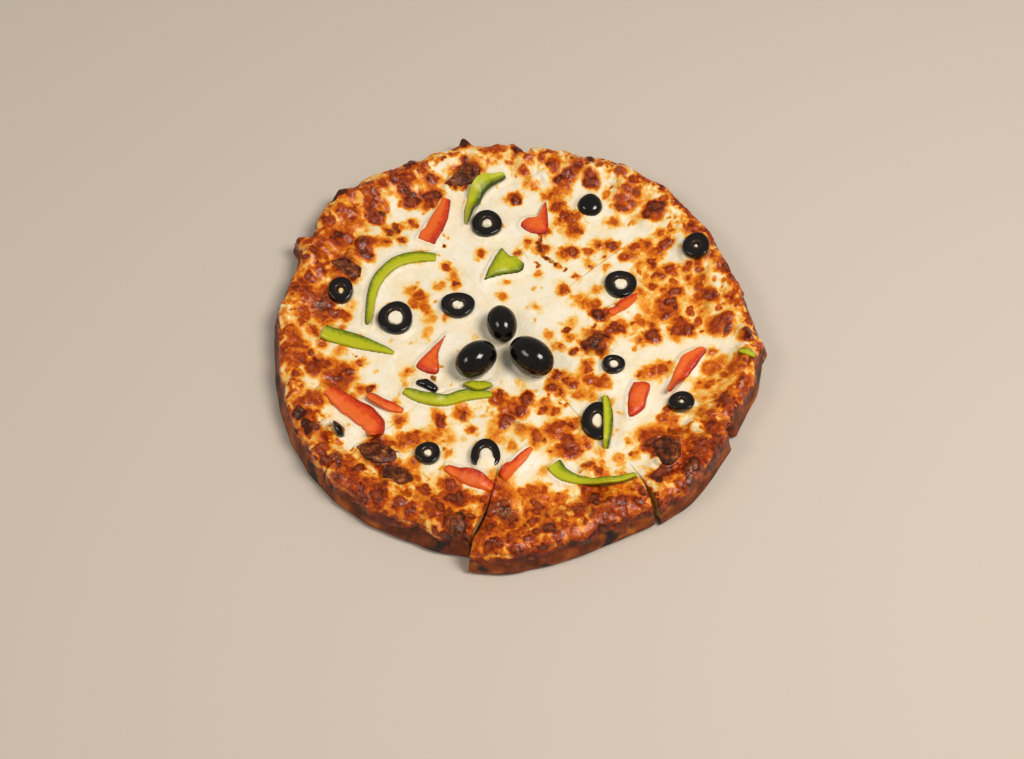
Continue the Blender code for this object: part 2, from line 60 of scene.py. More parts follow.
SLICES = (
    ((132.6, 130.6, 129.0, 128.6, 128.8, 131.0, 131.4), 0.88),
    ((131.6, 133.2, 133.5, 133.2, 133.1, 132.2, 130.6), 0.84),
    ((130.6, 131.4, 131.8, 133.4, 134.8, 134.2, 135.8), 0.86),
    ((135.9, 138.4, 140.2, 135.2, 131.2, 131.4, 131.7), 0.94),
    ((131.4, 129.8, 129.4, 129.7, 129.8, 130.2, 129.6), 1.02),
    ((129.6, 129.0, 127.6, 125.9, 124.6, 124.3, 123.5), 1.06),
    ((131.0, 129.8, 127.2, 124.8, 123.4, 123.0, 124.8), 1.02),
    ((126.6, 127.6, 126.8, 126.4, 126.8, 130.4, 132.2), 1.04),
)
EDGE_FEATURES = (
    (70.5, 1.6, 1.8),
    (87.0, -4.2, 2.4),
    (90.2, 1.6, 1.8),
    (102.8, 6.4, 2.6),
    (117.2, 1.8, 1.8),
    (135.8, 2.4, 3.0),
    (153.0, 7.0, 3.0),
    (332.9, -6.0, 2.2),
    (358.0, 2.4, 2.6),
)
EDGE_WOBBLE = 0.9
WALL_WOBBLE = 1.1
WALL_WAVELENGTH = 11.0
INNER_LAST = 0.82           # the last inner row's share of the way to the rim's foot
RIM_ROWS = (
    (28.0, 7.4, 4.0),
    (20.0, 10.8, 3.4),
    (14.0, 15.0, 2.6),
    (9.5, 17.0, 1.9),
    (5.5, 16.2, 0.9),
)
WALL_ROWS = ((4.2, 14.0), (2.2, 9.4), (0.4, 4.6), (0.0, 2.2), (1.8, 0.0))
RIM_SEGMENTS = 15
LUMP_SEED = 41
LUMP_COUNT = 170
LUMP_BAND = (3.0, 27.0)
LUMP_RADIUS = (4.5, 8.5)
LUMP_HEIGHT = (-1.1, 2.9)
MOUND_COUNT = 46
MOUND_RADIUS = (8.0, 16.0)
MOUND_HEIGHT = (-0.4, 0.9)
RING_HEIGHT = 4.2
END_HEIGHT = 4.6
PEPPER_DEPTH = 3.0
TOMATO_DEPTH = 2.6
MUSHROOM_DEPTH = 3.4
STRIP_STATIONS = 8
OLIVE_SPOT = 0.7
MEAN_RADIUS = 129.0
MOUND_REACH = 100.0         # how far from the hub the mounds lie
MOUND_TURN = 0.618          # of a full turn from one mound to the next
EDGE_INWARD = RIM_ROWS[-1][0]   # how far in from the edge the top of the cheese ends

OLIVE_RINGS = (
    ("olive_ring_1", (-16.2, 74.1), (8.4, 8.6), 3.3),
    ("olive_ring_2", (98.5, 55.1), (7.2, 7.8), 1.8),
    ("olive_ring_3", (56.9, 33.8), (8.7, 8.4), 4.0),
    ("olive_ring_4", (-31.4, 20.5), (9.2, 7.6), 3.6),
    ("olive_ring_5", (-64.7, 12.3), (9.3, 9.9), 4.8),
    ("olive_ring_6", (-94.8, 28.9), (6.6, 7.2), 2.3),
    ("olive_ring_7", (51.3, -16.5), (6.0, 5.4), 2.9),
    ("olive_ring_8", (85.5, -39.7), (6.7, 5.9), 1.9),
    ("olive_ring_9", (41.8, -50.2), (8.0, 10.6), 4.4),
    ("olive_ring_10", (-45.0, -68.7), (6.4, 6.1), 2.5),
    ("olive_ring_11", (-15.6, -69.8), (7.6, 8.6), 3.8),
)
OLIVE_END = ("olive_end_1", (41.7, 87.5), (6.9, 7.2))
OLIVE_BITS = (
    ("olive_bit_1", ((-52.4, -26.6), (-46.6, -28.2), (-41.4, -32.0)), (3.0, 5.2, 4.0)),
    ("olive_bit_2", ((-93.2, -52.0), (-90.6, -56.0), (-89.4, -60.4)), (2.2, 4.2, 3.6)),
)
WHOLE_OLIVES = (
    ("whole_olive_1", (-7.6, 5.4), 21.0, 16.2, 102.0),
    ("whole_olive_2", (-21.0, -17.0), 23.6, 18.0, 38.0),
    ("whole_olive_3", (8.0, -15.4), 26.0, 19.0, -40.0),
)
PEPPER_STRIPS = (
    ("green_pepper_1",
     ((-6.2, 107.6), (-19.2, 99.8), (-25.3, 86.2), (-27.4, 74.4)),
     (3.4, 8.2, 6.6, 2.6)),
    ("green_pepper_2",
     ((-79.2, 8.6), (-77.6, 31.5), (-69.7, 46.0), (-58.0, 52.2), (-44.1, 52.2)),
     (3.8, 5.4, 6.6, 7.6, 5.0)),
    ("green_pepper_4", ((-102.8, 3.4), (-84.1, -2.0), (-64.8, -8.8)), (9.0, 8.8, 2.4)),
    ("green_pepper_5",
     ((-58.8, -31.6), (-50.1, -36.2), (-38.6, -37.9), (-25.7, -34.4), (-12.4, -34.0)),
     (3.8, 5.6, 6.2, 6.8, 3.4)),
    ("green_pepper_6", ((-27.4, -28.0), (-20.0, -30.2), (-12.4, -28.4)), (3.4, 5.4, 4.0)),
    ("green_pepper_7", ((46.0, -35.4), (47.2, -49.9), (45.6, -65.4)), (2.6, 5.4, 3.0)),
    ("green_pepper_8",
     ((18.8, -74.2), (23.9, -80.3), (34.1, -84.1), (47.1, -85.9), (60.3, -82.6)),
     (8.6, 7.2, 4.6, 4.6, 2.6)),
    ("green_pepper_9", ((116.6, -12.6), (120.6, -13.8), (124.6, -16.2)), (2.8, 4.2, 2.8)),
)
TOMATO_STRIPS = (
    ("tomato_1", ((-38.9, 92.0), (-43.6, 76.6), (-50.0, 63.2)), (4.6, 9.2, 11.0)),
    ("tomato_4",
     ((-101.0, -31.0), (-87.4, -40.4), (-74.4, -50.6), (-72.2, -59.4)),
     (5.4, 11.0, 12.0, 7.4)),
    ("tomato_5", ((-77.6, -34.9), (-68.1, -40.2), (-58.6, -43.6)), (4.8, 6.4, 3.6)),
    ("tomato_6", ((50.1, 16.3), (57.7, 20.1), (65.5, 25.7)), (5.0, 4.4, 2.2)),
    ("tomato_8", ((100.2, -6.8), (92.2, -12.6), (86.4, -21.5), (79.0, -34.4)), (3.2, 8.8, 7.6, 2.8)),
    ("tomato_9", ((-36.2, -76.4), (-24.4, -82.0), (-11.8, -87.8)), (4.2, 8.2, 5.6)),
    ("tomato_10", ((-7.4, -82.4), (0.2, -73.4), (8.0, -65.2)), (5.2, 5.6, 2.8)),
)
PEPPER_PATCHES = (
    ("green_pepper_3",
     ((-17.8, 37.0), (-14.4, 47.0), (-8.3, 57.6), (-3.0, 53.4), (4.0, 52.6), (3.0, 43.4), (-8.8, 40.6)),
     1.0),
)
TOMATO_PATCHES = (
    ("tomato_2", ((17.0, 90.4), (15.0, 81.4), (5.2, 78.6), (2.6, 73.4), (9.5, 68.6), (17.6, 70.4)), 0.9),
    ("tomato_3",
     ((-37.6, 2.6), (-45.4, -6.4), (-53.0, -16.4), (-45.8, -21.4), (-40.8, -20.4), (-41.2, -8.6)), 1.0),
    ("tomato_7",
     ((61.4, -26.4), (69.9, -27.0), (68.0, -36.4), (65.8, -42.8), (58.4, -46.8), (58.4, -34.4)), 1.0),
)
MUSHROOM_PATCHES = (
    ("mushroom_1",
     ((-40.2, 101.0), (-34.4, 108.6), (-27.0, 114.4), (-18.6, 107.6), (-23.6, 101.0), (-33.4, 99.4)),
     1.1),
    ("mushroom_2", ((-101.4, 47.4), (-93.9, 50.2), (-84.4, 44.4), (-85.6, 38.0), (-94.6, 38.2)), 1.0),
    ("mushroom_3", ((36.9, 0.6), (43.6, 3.4), (50.6, -0.9), (49.0, -7.4), (39.4, -7.2)), 0.9),
    ("mushroom_4", ((-81.6, -66.0), (-74.2, -61.8), (-61.0, -66.4), (-60.4, -74.0), (-73.8, -75.2)), 1.2),
    ("mushroom_5", ((-66.8, -77.4), (-56.7, -77.7), (-51.6, -83.6), (-58.8, -88.8), (-66.4, -84.8)), 1.0),
    ("mushroom_6",
     ((-34.4, -106.4), (-27.2, -104.4), (-23.6, -110.0), (-25.6, -116.0), (-31.6, -117.0)), 1.2),
    ("mushroom_7", ((68.6, -63.0), (76.0, -58.4), (83.0, -63.4), (81.4, -74.4), (73.6, -77.4)), 1.3),
)

# The camera: its target on the floor, its distance, its height above the horizon, its lens.
CAMERA_TARGET = (-2.2, -18.0)
CAMERA_DISTANCE = 760.0
CAMERA_ELEVATION = 60.5
LENS = 50.0
SENSOR = 36.0
PICTURE = (1024, 759)
PIXEL_SIZE = 0.535          # millimetres to a picture pixel on the cheese

# The floor and the light, in metres. The floor's colour is a screen's.
STAGE_REACH = 1.6
FLOOR_COLOUR = (200, 187, 173)
WORLD_STRENGTH = 0.30
WORLD_COLOUR = (1.0, 0.975, 0.935, 1.0)
LIGHT_COLOUR = (1.0, 0.965, 0.91)
LIGHT_AIM = (0.0, 0.0, 0.01)

# Lights: name, azimuth from the camera's side towards the right, elevation, distance, size, power.
LIGHTS = (
    ("key", 70.0, 62.0, 1.3, (0.45, 0.45), 13.2),
    ("fill", -75.0, 50.0, 1.5, (0.5, 0.4), 4.6),
)

# Browned spots seen in the picture, in its pixels: middle across, middle down, radius.
DARK_SPOTS = (
    (338, 238, 12), (366, 241, 9), (364, 252, 8), (350, 272, 7), (306, 291, 9), (323, 312, 12),
    (341, 209, 5), (410, 200, 8), (404, 189, 7), (394, 174, 6), (412, 166, 6), (373, 192, 6),
    (434, 196, 9), (429, 204, 7), (517, 151, 6), (523, 169, 5), (562, 178, 7), (569, 177, 6),
    (553, 163, 7), (592, 181, 7), (514, 198, 7), (625, 203, 10), (654, 213, 9), (636, 190, 5),
    (706, 240, 7), (723, 263, 7), (735, 280, 7), (667, 307, 12), (702, 296, 7), (713, 296, 6),
    (681, 324, 8), (720, 324, 11), (652, 338, 7), (602, 315, 7), (745, 332, 6), (762, 346, 6),
    (319, 365, 9), (339, 379, 14), (313, 397, 8), (301, 414, 8), (309, 430, 7), (350, 473, 6),
    (339, 477, 7), (336, 462, 6), (370, 489, 11), (382, 498, 8), (363, 497, 8), (456, 492, 12),
    (447, 484, 7), (462, 502, 7), (410, 513, 7), (431, 512, 6), (456, 528, 13), (497, 500, 17),
    (510, 517, 9), (490, 527, 10), (492, 545, 8), (656, 438, 12), (668, 446, 8), (654, 455, 7),
    (676, 432, 7), (594, 497, 11), (580, 508, 8), (602, 518, 11), (692, 470, 9), (684, 486, 8),
    (700, 456, 8), (616, 512, 7), (634, 516, 7), (660, 509, 6), (551, 526, 9), (520, 553, 9),
    (546, 548, 7), (716, 452, 7), (728, 399, 10), (738, 412, 7), (722, 441, 7), (388, 474, 8),
    (466, 172, 13), (347, 272, 13), (600, 341, 10), (376, 453, 13), (397, 475, 11), (457, 523, 10),
    (664, 449, 13), (543, 249, 5), (338, 286, 8), (320, 300, 9), (664, 452, 9), (655, 477, 7),
    (672, 470, 7), (389, 231, 5), (380, 219, 5), (577, 163, 7), (518, 255, 4), (419, 258, 4),
    (590, 348, 6), (600, 351, 6),
)
RED_SPOTS = (
    (373, 215, 7), (355, 211, 7), (372, 202, 6), (384, 184, 6), (430, 182, 6), (404, 172, 6),
    (338, 262, 7), (321, 268, 5), (414, 225, 4), (574, 231, 8), (567, 214, 6), (559, 204, 5),
    (608, 245, 6), (615, 244, 6), (570, 216, 7), (546, 233, 5), (598, 245, 5), (564, 253, 7),
    (571, 252, 6), (628, 255, 6), (588, 252, 5), (655, 252, 6), (666, 244, 6), (652, 264, 6),
    (660, 275, 6), (671, 270, 6), (648, 243, 5), (618, 197, 4), (627, 187, 5), (700, 281, 6),
    (689, 279, 5), (678, 292, 6), (620, 326, 7), (608, 331, 6), (652, 325, 5), (690, 331, 6),
    (676, 335, 6), (640, 341, 5), (456, 284, 5), (360, 363, 5), (361, 390, 5), (370, 389, 4),
    (298, 345, 9), (294, 357, 7), (304, 352, 7), (331, 363, 6), (438, 420, 6), (462, 414, 7),
    (500, 398, 7), (510, 407, 8), (506, 421, 6), (521, 404, 8), (424, 489, 6), (557, 432, 10),
    (572, 424, 8), (574, 446, 10), (564, 451, 7), (590, 382, 6), (571, 382, 7), (558, 376, 7),
    (586, 367, 7), (552, 386, 6), (560, 392, 5), (676, 420, 5), (665, 420, 6), (634, 453, 6),
    (642, 435, 6), (668, 409, 4), (586, 485, 6), (534, 504, 6), (560, 499, 6), (545, 512, 7),
    (572, 526, 7), (586, 538, 7), (532, 541, 7), (560, 548, 6), (512, 535, 8), (474, 540, 7),
    (476, 556, 6), (640, 500, 7), (620, 496, 6), (710, 425, 6), (705, 440, 6), (672, 500, 8),
    (692, 492, 7), (741, 380, 6), (748, 392, 6), (744, 360, 5), (395, 503, 8), (402, 512, 7),
    (350, 488, 7), (326, 448, 6), (322, 436, 6), (414, 463, 5), (399, 421, 4), (318, 246, 6),
    (330, 222, 6), (352, 196, 6), (386, 168, 5), (300, 310, 6), (314, 330, 6), (292, 330, 6),
    (397, 229, 6), (402, 240, 4), (410, 222, 4), (386, 243, 5), (576, 277, 3), (590, 267, 2),
    (604, 257, 3), (588, 467, 6), (598, 471, 4), (566, 330, 3), (571, 338, 4), (561, 346, 3),
    (420, 257, 6), (574, 352, 4),
)
ORANGE_SPOTS = (
    (556, 198, 6), (566, 190, 6), (558, 208, 6), (560, 221, 6), (579, 216, 5), (528, 183, 4),
    (528, 243, 5), (412, 291, 6), (421, 300, 7), (427, 312, 5), (446, 267, 5), (452, 276, 4),
    (546, 196, 5), (556, 190, 5), (560, 182, 5), (572, 222, 5), (613, 221, 5), (632, 223, 4),
    (643, 246, 7), (634, 246, 5), (659, 233, 5), (629, 256, 6), (562, 289, 6), (583, 302, 7),
    (593, 304, 6), (597, 289, 5), (578, 298, 5), (591, 333, 6), (620, 305, 4), (640, 292, 5),
    (652, 286, 5), (664, 290, 5), (676, 287, 5), (698, 287, 5), (694, 302, 5), (703, 312, 5),
    (640, 265, 5), (670, 232, 4), (689, 230, 6), (697, 262, 5), (688, 268, 4), (646, 310, 5),
    (640, 322, 5), (656, 318, 5), (342, 330, 5), (358, 341, 4), (345, 316, 5), (344, 365, 4),
    (407, 372, 5), (352, 400, 5), (330, 398, 5), (418, 437, 7), (434, 436, 7), (402, 445, 7),
    (416, 444, 5), (388, 442, 6), (399, 421, 7), (437, 415, 5), (463, 410, 6), (470, 429, 4),
    (421, 499, 6), (414, 478, 5), (432, 506, 7), (476, 500, 6), (444, 505, 6), (496, 435, 8),
    (500, 420, 7), (522, 431, 6), (544, 406, 7), (554, 412, 6), (539, 441, 7), (530, 430, 5),
    (556, 452, 7), (586, 442, 7), (592, 430, 5), (600, 382, 8), (592, 396, 5), (580, 392, 6),
    (649, 371, 6), (642, 376, 6), (664, 367, 8), (656, 374, 6), (714, 369, 8), (722, 362, 6),
    (730, 372, 7), (740, 369, 7), (712, 352, 5), (701, 384, 6), (710, 384, 5), (713, 413, 6),
    (704, 408, 5), (646, 446, 6), (628, 443, 5), (689, 445, 6), (696, 430, 6), (704, 452, 6),
    (616, 486, 7), (628, 490, 7), (602, 475, 6), (537, 492, 8), (524, 498, 7), (548, 500, 6),
    (530, 516, 7), (556, 512, 6), (620, 458, 5), (569, 539, 7), (589, 541, 6), (606, 534, 6),
    (538, 556, 6), (640, 528, 5), (350, 228, 6), (344, 218, 5), (360, 222, 5), (324, 256, 5),
    (330, 242, 5), (352, 252, 5), (385, 205, 5), (418, 182, 5), (437, 178, 5), (312, 274, 6),
    (300, 278, 5), (320, 290, 5), (302, 322, 5), (322, 345, 5), (340, 350, 5), (500, 268, 3),
    (502, 296, 4), (480, 254, 4), (534, 187, 4), (530, 156, 4), (542, 158, 4), (498, 156, 4),
    (510, 162, 3),
)
LIGHT_SPOTS = (
    (429, 319, 6), (481, 253, 4), (440, 286, 5), (529, 182, 4), (537, 307, 4), (640, 216, 5),
    (606, 268, 3), (644, 300, 6), (655, 306, 5), (646, 280, 6), (630, 276, 5), (612, 222, 6),
    (588, 262, 4), (700, 386, 5), (684, 378, 5), (704, 398, 5), (722, 386, 5), (690, 397, 4),
    (520, 384, 4), (447, 430, 5), (450, 440, 5), (404, 384, 4), (395, 404, 5), (448, 455, 4),
    (410, 486, 5), (512, 446, 5), (545, 428, 5), (600, 452, 4), (610, 404, 4), (558, 266, 3),
    (538, 274, 3), (506, 282, 3), (428, 332, 5), (446, 318, 4), (352, 306, 5), (556, 346, 5),
    (548, 336, 4), (572, 322, 5), (544, 470, 5), (600, 462, 4), (508, 470, 5), (444, 470, 4),
)

# Where the cheese has yellowed between its spots, in picture pixels as above.
WARM_PATCHES = (
    (668, 300, 34), (702, 318, 28), (650, 262, 22), (664, 240, 20), (640, 332, 24), (700, 270, 18),
    (730, 310, 20), (560, 200, 20), (570, 230, 17), (616, 192, 20), (642, 200, 18), (576, 298, 15),
    (602, 328, 18), (736, 374, 24), (714, 408, 22), (692, 440, 22), (588, 380, 24), (560, 398, 18),
    (562, 434, 25), (502, 408, 22), (512, 428, 17), (430, 440, 25), (402, 442, 20), (418, 482, 15),
    (330, 382, 24), (418, 302, 17), (602, 432, 17), (620, 466, 17), (540, 502, 24), (600, 488, 22),
    (350, 226, 24), (322, 262, 22), (430, 190, 17), (398, 180, 18), (520, 165, 18), (545, 160, 16),
    (658, 372, 18), (536, 246, 13), (480, 410, 15), (350, 344, 12), (455, 275, 9),
)

# Where it has stayed white beside browned cheese, in picture pixels as above.
CLEAN_PATCHES = (
    (618, 444, 9), (630, 452, 11), (643, 459, 11), (655, 464, 9), (640, 474, 12), (650, 484, 9),
    (632, 466, 9), (686, 421, 10), (698, 426, 9), (470, 486, 9), (481, 490, 9), (476, 478, 8),
    (354, 432, 11), (350, 444, 9), (412, 490, 5), (445, 150, 8), (456, 160, 8), (630, 228, 13),
    (616, 236, 9), (393, 208, 6), (389, 221, 6), (640, 402, 12), (530, 200, 9), (655, 408, 10),
    (632, 415, 10),
)

# How each group of spots is baked: tone of its bed, range of tones of its blisters, rise for each radius.
SPOT_GROUPS = (
    (DARK_SPOTS, 0.52, (0.58, 0.96), 0.27),
    (RED_SPOTS, 0.39, (0.50, 0.82), 0.24),
    (ORANGE_SPOTS, 0.30, (0.36, 0.60), 0.16),
    (LIGHT_SPOTS, 0.20, (0.20, 0.40), 0.08),
)
BLISTER_RADIUS = 1.8        # of a common blister
BLISTER_SIZES = (0.45, 2.1)   # the smallest and the largest, in shares of that radius
BLISTER_CROWD = 0.66        # blisters on a spot, for each time that one would fit in it
BLISTER_SPREAD = 0.88       # share of a spot's radius that their middles keep to
BLISTER_STRETCH = (0.75, 1.3)
BLISTER_TALLEST = 1.3
BED_STRETCH = (0.8, 1.25)
BED_RISE = 0.35             # share of the blisters' rise that the bed under them has
DOME_HIGHLIGHT_TONE = 0.66            # blisters browner than this get a painted highlight on their domes
SPOT_MARGIN = 8.0           # how far spots beyond the asked places still reach them

# How brown a spot is at distances from its middle, in shares of its radius: the distances, the shares.
BED_BODY = ((0.0, 0.7, 1.0, 1.3, 1.6), (1.0, 1.0, 0.80, 0.44, 0.0))
# A blister is a little paler in its middle: partly its own colour, partly a painted highlight on its dome.
BLISTER_BODY = ((0.0, 0.5, 0.8, 1.0, 1.2, 1.45, 1.8), (0.84, 0.90, 1.0, 0.86, 0.58, 0.32, 0.0))

# How a spot tints what is round it: where that starts, how far it goes on, how fast it fades.
BED_HALO = (0.95, 2.7, 1.15)
BLISTER_HALO = (0.85, 1.2, 1.4)
BED_TINT = 0.72
BLISTER_TINT = 0.40

# How brown each thing is, from 0 to 1, and the shares by which pale and clean places are lighter.
EDGE_TONE = 0.70
HALO_TONE = 0.62
WARM_TONE = 0.29
CHAR_TONE = 1.02
FLECK_AND_SHADOW_TONE = 0.74
BASE_TONE = 0.025
PALE_SHARE = 0.70
CLEAN_SHARE = 0.86
FLECK_AND_SHADOW_SHARE = 0.8
EDGE_WIDTH = 5.0            # of the browned band at the very edge

# Random spots: chance of one, radius and tone, where the cheese is pale and where it is baked.
WARM_CHANCE = 0.55          # how baked a warm patch counts
SPOT_CHANCES = (0.13, 0.85)
PALE_RADII = (0.5, 1.3)
BAKED_RADII = (0.7, 3.0)
PALE_TONES = (0.12, 0.36)
BAKED_TONES = (0.45, 0.90)

# Ripples that are added up: height of each, size in millimetres, seed.
WARP_X = ((0.9, 4.2, 1), (0.65, 2.1, 2), (0.36, 1.0, 12))
WARP_Y = ((0.9, 4.2, 3), (0.65, 2.1, 4), (0.36, 1.0, 13))
PATCHY = ((0.5, 7.0, 5), (0.45, 3.2, 6), (0.35, 1.4, 7))
MOTTLE = ((0.34, 2.4, 14), (0.26, 1.2, 15))
CORE_GRAIN = ((0.16, 1.7, 18), (0.10, 0.8, 19))
STAIN_GRAIN = ((1.0, 2.6, 8), (0.6, 1.2, 9))
STREAKS = ((0.8, 3.6, 20), (0.7, 1.7, 21))
FOLDS = ((0.42, 7.0, 31), (0.17, 2.8, 32))
ROUGHNESS = ((0.16, 1.7, 33), (0.10, 0.9, 34))
COVER_EDGE = ((0.12, 3.6, 36),)
MUSHROOM_EDGE = ((0.9, 3.0, 37),)
DRIPS = ((0.13, 6.5, 41), (0.06, 2.4, 42))
DRAPE_BUMPS = ((0.35, 2.6, 43), (0.2, 1.2, 45))
CRUST_GRAIN = ((0.10, 1.6, 23), (0.06, 0.8, 24))

# Patches of baked mushroom and herbs under the cheese, in picture pixels as above.
MUSHROOM_STAINS = (
    (615, 184, 7), (344, 264, 13), (322, 306, 16), (334, 284, 8), (392, 230, 7), (404, 246, 5),
    (381, 212, 6), (516, 425, 10), (600, 338, 12), (374, 456, 18), (396, 474, 11), (459, 528, 9),
    (506, 512, 15), (598, 512, 16), (574, 502, 10), (552, 528, 10), (676, 446, 12), (700, 434, 11),
    (692, 474, 13), (703, 448, 8), (664, 458, 8), (324, 424, 8), (336, 456, 8),
)

# Black flecks under the cheese and painted shadows beside toppings, and burnt knobs of the rim, in picture
# pixels as above.
DARK_FLECKS_AND_SHADOWS = (
    (316, 260, 5), (351, 265, 7), (344, 263, 5), (389, 235, 6), (397, 231, 4), (381, 213, 5),
    (445, 246, 3), (448, 185, 5), (452, 187, 6), (457, 188, 6), (462, 188, 6), (467, 187, 5),
    (471, 186, 4), (336, 462, 6), (403, 482, 6), (397, 480, 5), (355, 355, 2), (441, 368, 3),
    (434, 379, 4), (665, 454, 9), (669, 447, 7), (545, 441, 4), (606, 340, 4), (598, 343, 4),
    (577, 165, 5), (573, 158, 3), (581, 158, 3), (540, 235, 4), (541, 239, 4), (539, 243, 5),
    (540, 247, 4), (541, 251, 4), (544, 255, 4), (548, 258, 4), (552, 261, 4), (556, 264, 4),
    (560, 266, 3), (564, 269, 3), (538, 266, 4), (536, 262, 3), (584, 347, 4), (590, 350, 5),
    (597, 352, 5), (603, 352, 4), (567, 332, 3),
)
CHARRED_KNOBS = (
    (465, 142, 9), (339, 191, 11), (332, 198, 7), (412, 163, 7), (517, 149, 7), (590, 158, 7),
    (300, 414, 9), (309, 430, 7), (306, 422, 7), (662, 522, 7), (768, 349, 6), (297, 240, 5),
    (672, 453, 5), (660, 479, 5), (700, 500, 4), (646, 530, 4),
)

# Round the edge: angle, how far in the cheese has browned all over, and how strongly.
RIM_BAKING = (
    (0.0, 14.0, 0.62),
    (20.0, 17.0, 0.70),
    (45.0, 17.0, 0.72),
    (70.0, 13.0, 0.62),
    (90.0, 14.0, 0.56),
    (110.0, 18.0, 0.60),
    (130.0, 29.0, 0.60),
    (150.0, 34.0, 0.63),
    (168.0, 25.0, 0.61),
    (182.0, 17.0, 0.56),
    (197.0, 19.0, 0.58),
    (212.0, 22.0, 0.61),
    (228.0, 28.0, 0.62),
    (246.0, 26.0, 0.62),
    (262.0, 30.0, 0.57),
    (285.0, 33.0, 0.56),
    (305.0, 29.0, 0.59),
    (322.0, 31.0, 0.62),
    (336.0, 22.0, 0.57),
    (348.0, 15.0, 0.52),
)

# Width of each cut in the cheese, which has run together again: at five even stations from hub to rim.
SEAMS = (
    (0.02, 0.02, 0.02, 0.03, 0.30),
    (0.02, 0.06, 0.32, 0.08, 0.05),
    (0.02, 0.02, 0.02, 0.03, 0.20),
    (0.02, 0.02, 0.02, 0.03, 0.20),
    (0.02, 0.02, 0.02, 0.03, 0.25),
    (0.02, 0.05, 0.12, 0.25, 0.45),
    (0.02, 0.04, 0.08, 0.32, 1.10),
    (0.03, 0.13, 0.30, 0.18, 2.90),
)

# How finely the pieces are made, and what shapes them.
CHEESE_ROWS = 236
CHEESE_BANDS = ((0.30, 56), (0.62, 112), (1.01, 224))   # up to this share of the way: columns
UNDER_EVERY = 8             # rows of the cheese's top to one of its underside
CHEESE_TIP = 0.3            # where the points of the cheese end, round the hub
EDGE_PULL = 0.55            # how closely the columns crowd towards the cuts
DRAPE_ROWS = 20
DRAPE_SPAN = 0.62           # share of the side that the cheese may run down
DRAPE_SAMPLES = 40
DRIP_REACH = 0.33           # share of the side that the cheese runs down where nothing changes it
DRIP_FEWER = (205.0, 8.0, 16.0, 0.55)   # angle round which it runs less far, how wide, how soft, share
WALL_ARC = 20.0             # length of the crust's side from the cheese's edge to the board
DRAPE_DEPTH = 0.7           # thickness of the cheese where it leaves the rim
WALL_COLUMNS = 168
WALL_STEPS = 34
SIDE_WOBBLE = 0.5           # a smoother side than the frame's faceted one
SIDE_STEADY = 0.85          # how far the foot of the side leaves out the waves of the edge
UNDER_COLUMNS = 12
DOUGH_WAYS = (0.0, 0.25, 0.5, 0.75, 1.0)   # rows of the dough's top, as shares of the way to the rim
DOUGH_INWARDS = (24.0, 20.0, 17.0, 14.0, 11.5, 9.5, 7.5)   # rows on the rim, by how far in they are
CRUMB = 1                   # the dough's materials after its crust
UNDERSIDE = 2
OUTLINE_SIDES = 24
RING_SIDES = 72
OLIVE_SIDES = 56
OLIVE_RINGS_ALONG = 40
END_STEPS = 14
SCAR_STEPS = 4              # rings of a whole olive from its end to the edge of its scar
PATCH_SIDES = 80
PATCH_RINGS = (0.0, 0.12, 0.24, 0.36, 0.48, 0.6, 0.7, 0.79, 0.87, 0.93, 0.97, 1.0)
STRIP_STEP = 0.7
STRIP_ROUNDING = 0.72       # power of the sine and cosine that a strip's section follows
WHOLE_FOOT = 0.36           # half axes of what a whole olive covers, as shares of its size
SHARP_ANGLE = 62.0          # degrees between faces that don't shade as one
NOISE_CELLS = 256
PROFILE_REACH = 70.0
PROFILE_STEP = 0.25
PROFILE_WINDOW = 15         # steps over which the corners of the rim's profile are rounded
FIRST_GUESS = 12.0          # height of the cheese that the search for a place starts from
SPOT_SEED = 7
SPOT_SPACING = 5.6
FIELD_REACH = 140.0         # half the width of the square that the random spots fill
SPILL = -7.0                # how far beyond the edge, as if flat, the cheese's spots go on
HUG_REACH = 3.0             # how far from a topping the cheese rises to it
HUG_RISE = 1.3
HOLE_FILL = 3.2             # how high the cheese stands in the olive rings' holes
MUSHROOM_HUG = 2.9          # mushrooms are sunk in the cheese, which runs up their sides

# Cheese that has run over toppings: middle across, middle down and radius in picture pixels, rise.
COVERS = (
    (487, 464, 16, 5.9),
    (474, 173, 11, 4.2),
    (341, 274, 11, 4.0),
    (606, 346, 12, 4.4),
    (390, 487, 11, 4.2),
    (675, 443, 14, 5.2),
    (588, 471, 10, 3.0),
    (521, 259, 8, 3.4),
    (325, 393, 11, 4.0),
    (456, 521, 11, 4.2),
)


def mix(low, high, share):
    """A value between two others."""
    return low + (high - low) * share


def ease(value):
    """A smooth step from 0 to 1."""
    t = numpy.clip(value, 0.0, 1.0)
    return t * t * (3.0 - 2.0 * t)


def hump(away, power=1.0):
    """1 at the middle of something round, falling to 0 at a distance of 1."""
    return numpy.clip(1.0 - away ** 2, 0.0, 1.0) ** power


def along(values, share):
    """A smooth curve through evenly spaced values, at an array of shares."""
    values = numpy.asarray(values, float)
    last = len(values) - 1
    place = numpy.clip(share, 0.0, 1.0) * last
    index = numpy.minimum(place.astype(int), last - 1)
    t = place - index
    a = values[numpy.maximum(index - 1, 0)]
    b = values[index]
    c = values[index + 1]
    d = values[numpy.minimum(index + 2, last)]
    curve = 2 * b + (c - a) * t + (2 * a - 5 * b + 4 * c - d) * t * t + (3 * b - a - 3 * c + d) * t ** 3
    return 0.5 * curve


def along_line(points, share):
    """Places on the smooth line through the points."""
    share = numpy.asarray(share, float)
    return numpy.stack([along(values, share) for values in zip(*points)], axis=-1)


def unit(degrees):
    """The direction of an angle in plan, for one angle or an array of them."""
    turn = numpy.radians(degrees)
    return numpy.stack([numpy.cos(turn), numpy.sin(turn)], axis=-1)


def cut_angles(index):
    """The rim angles of a slice's two cuts, the second one larger."""
    first = CUTS[index][0]
    second = CUTS[(index + 1) % len(CUTS)][0]
    if second < first:
        second += 360.0
    return first, second


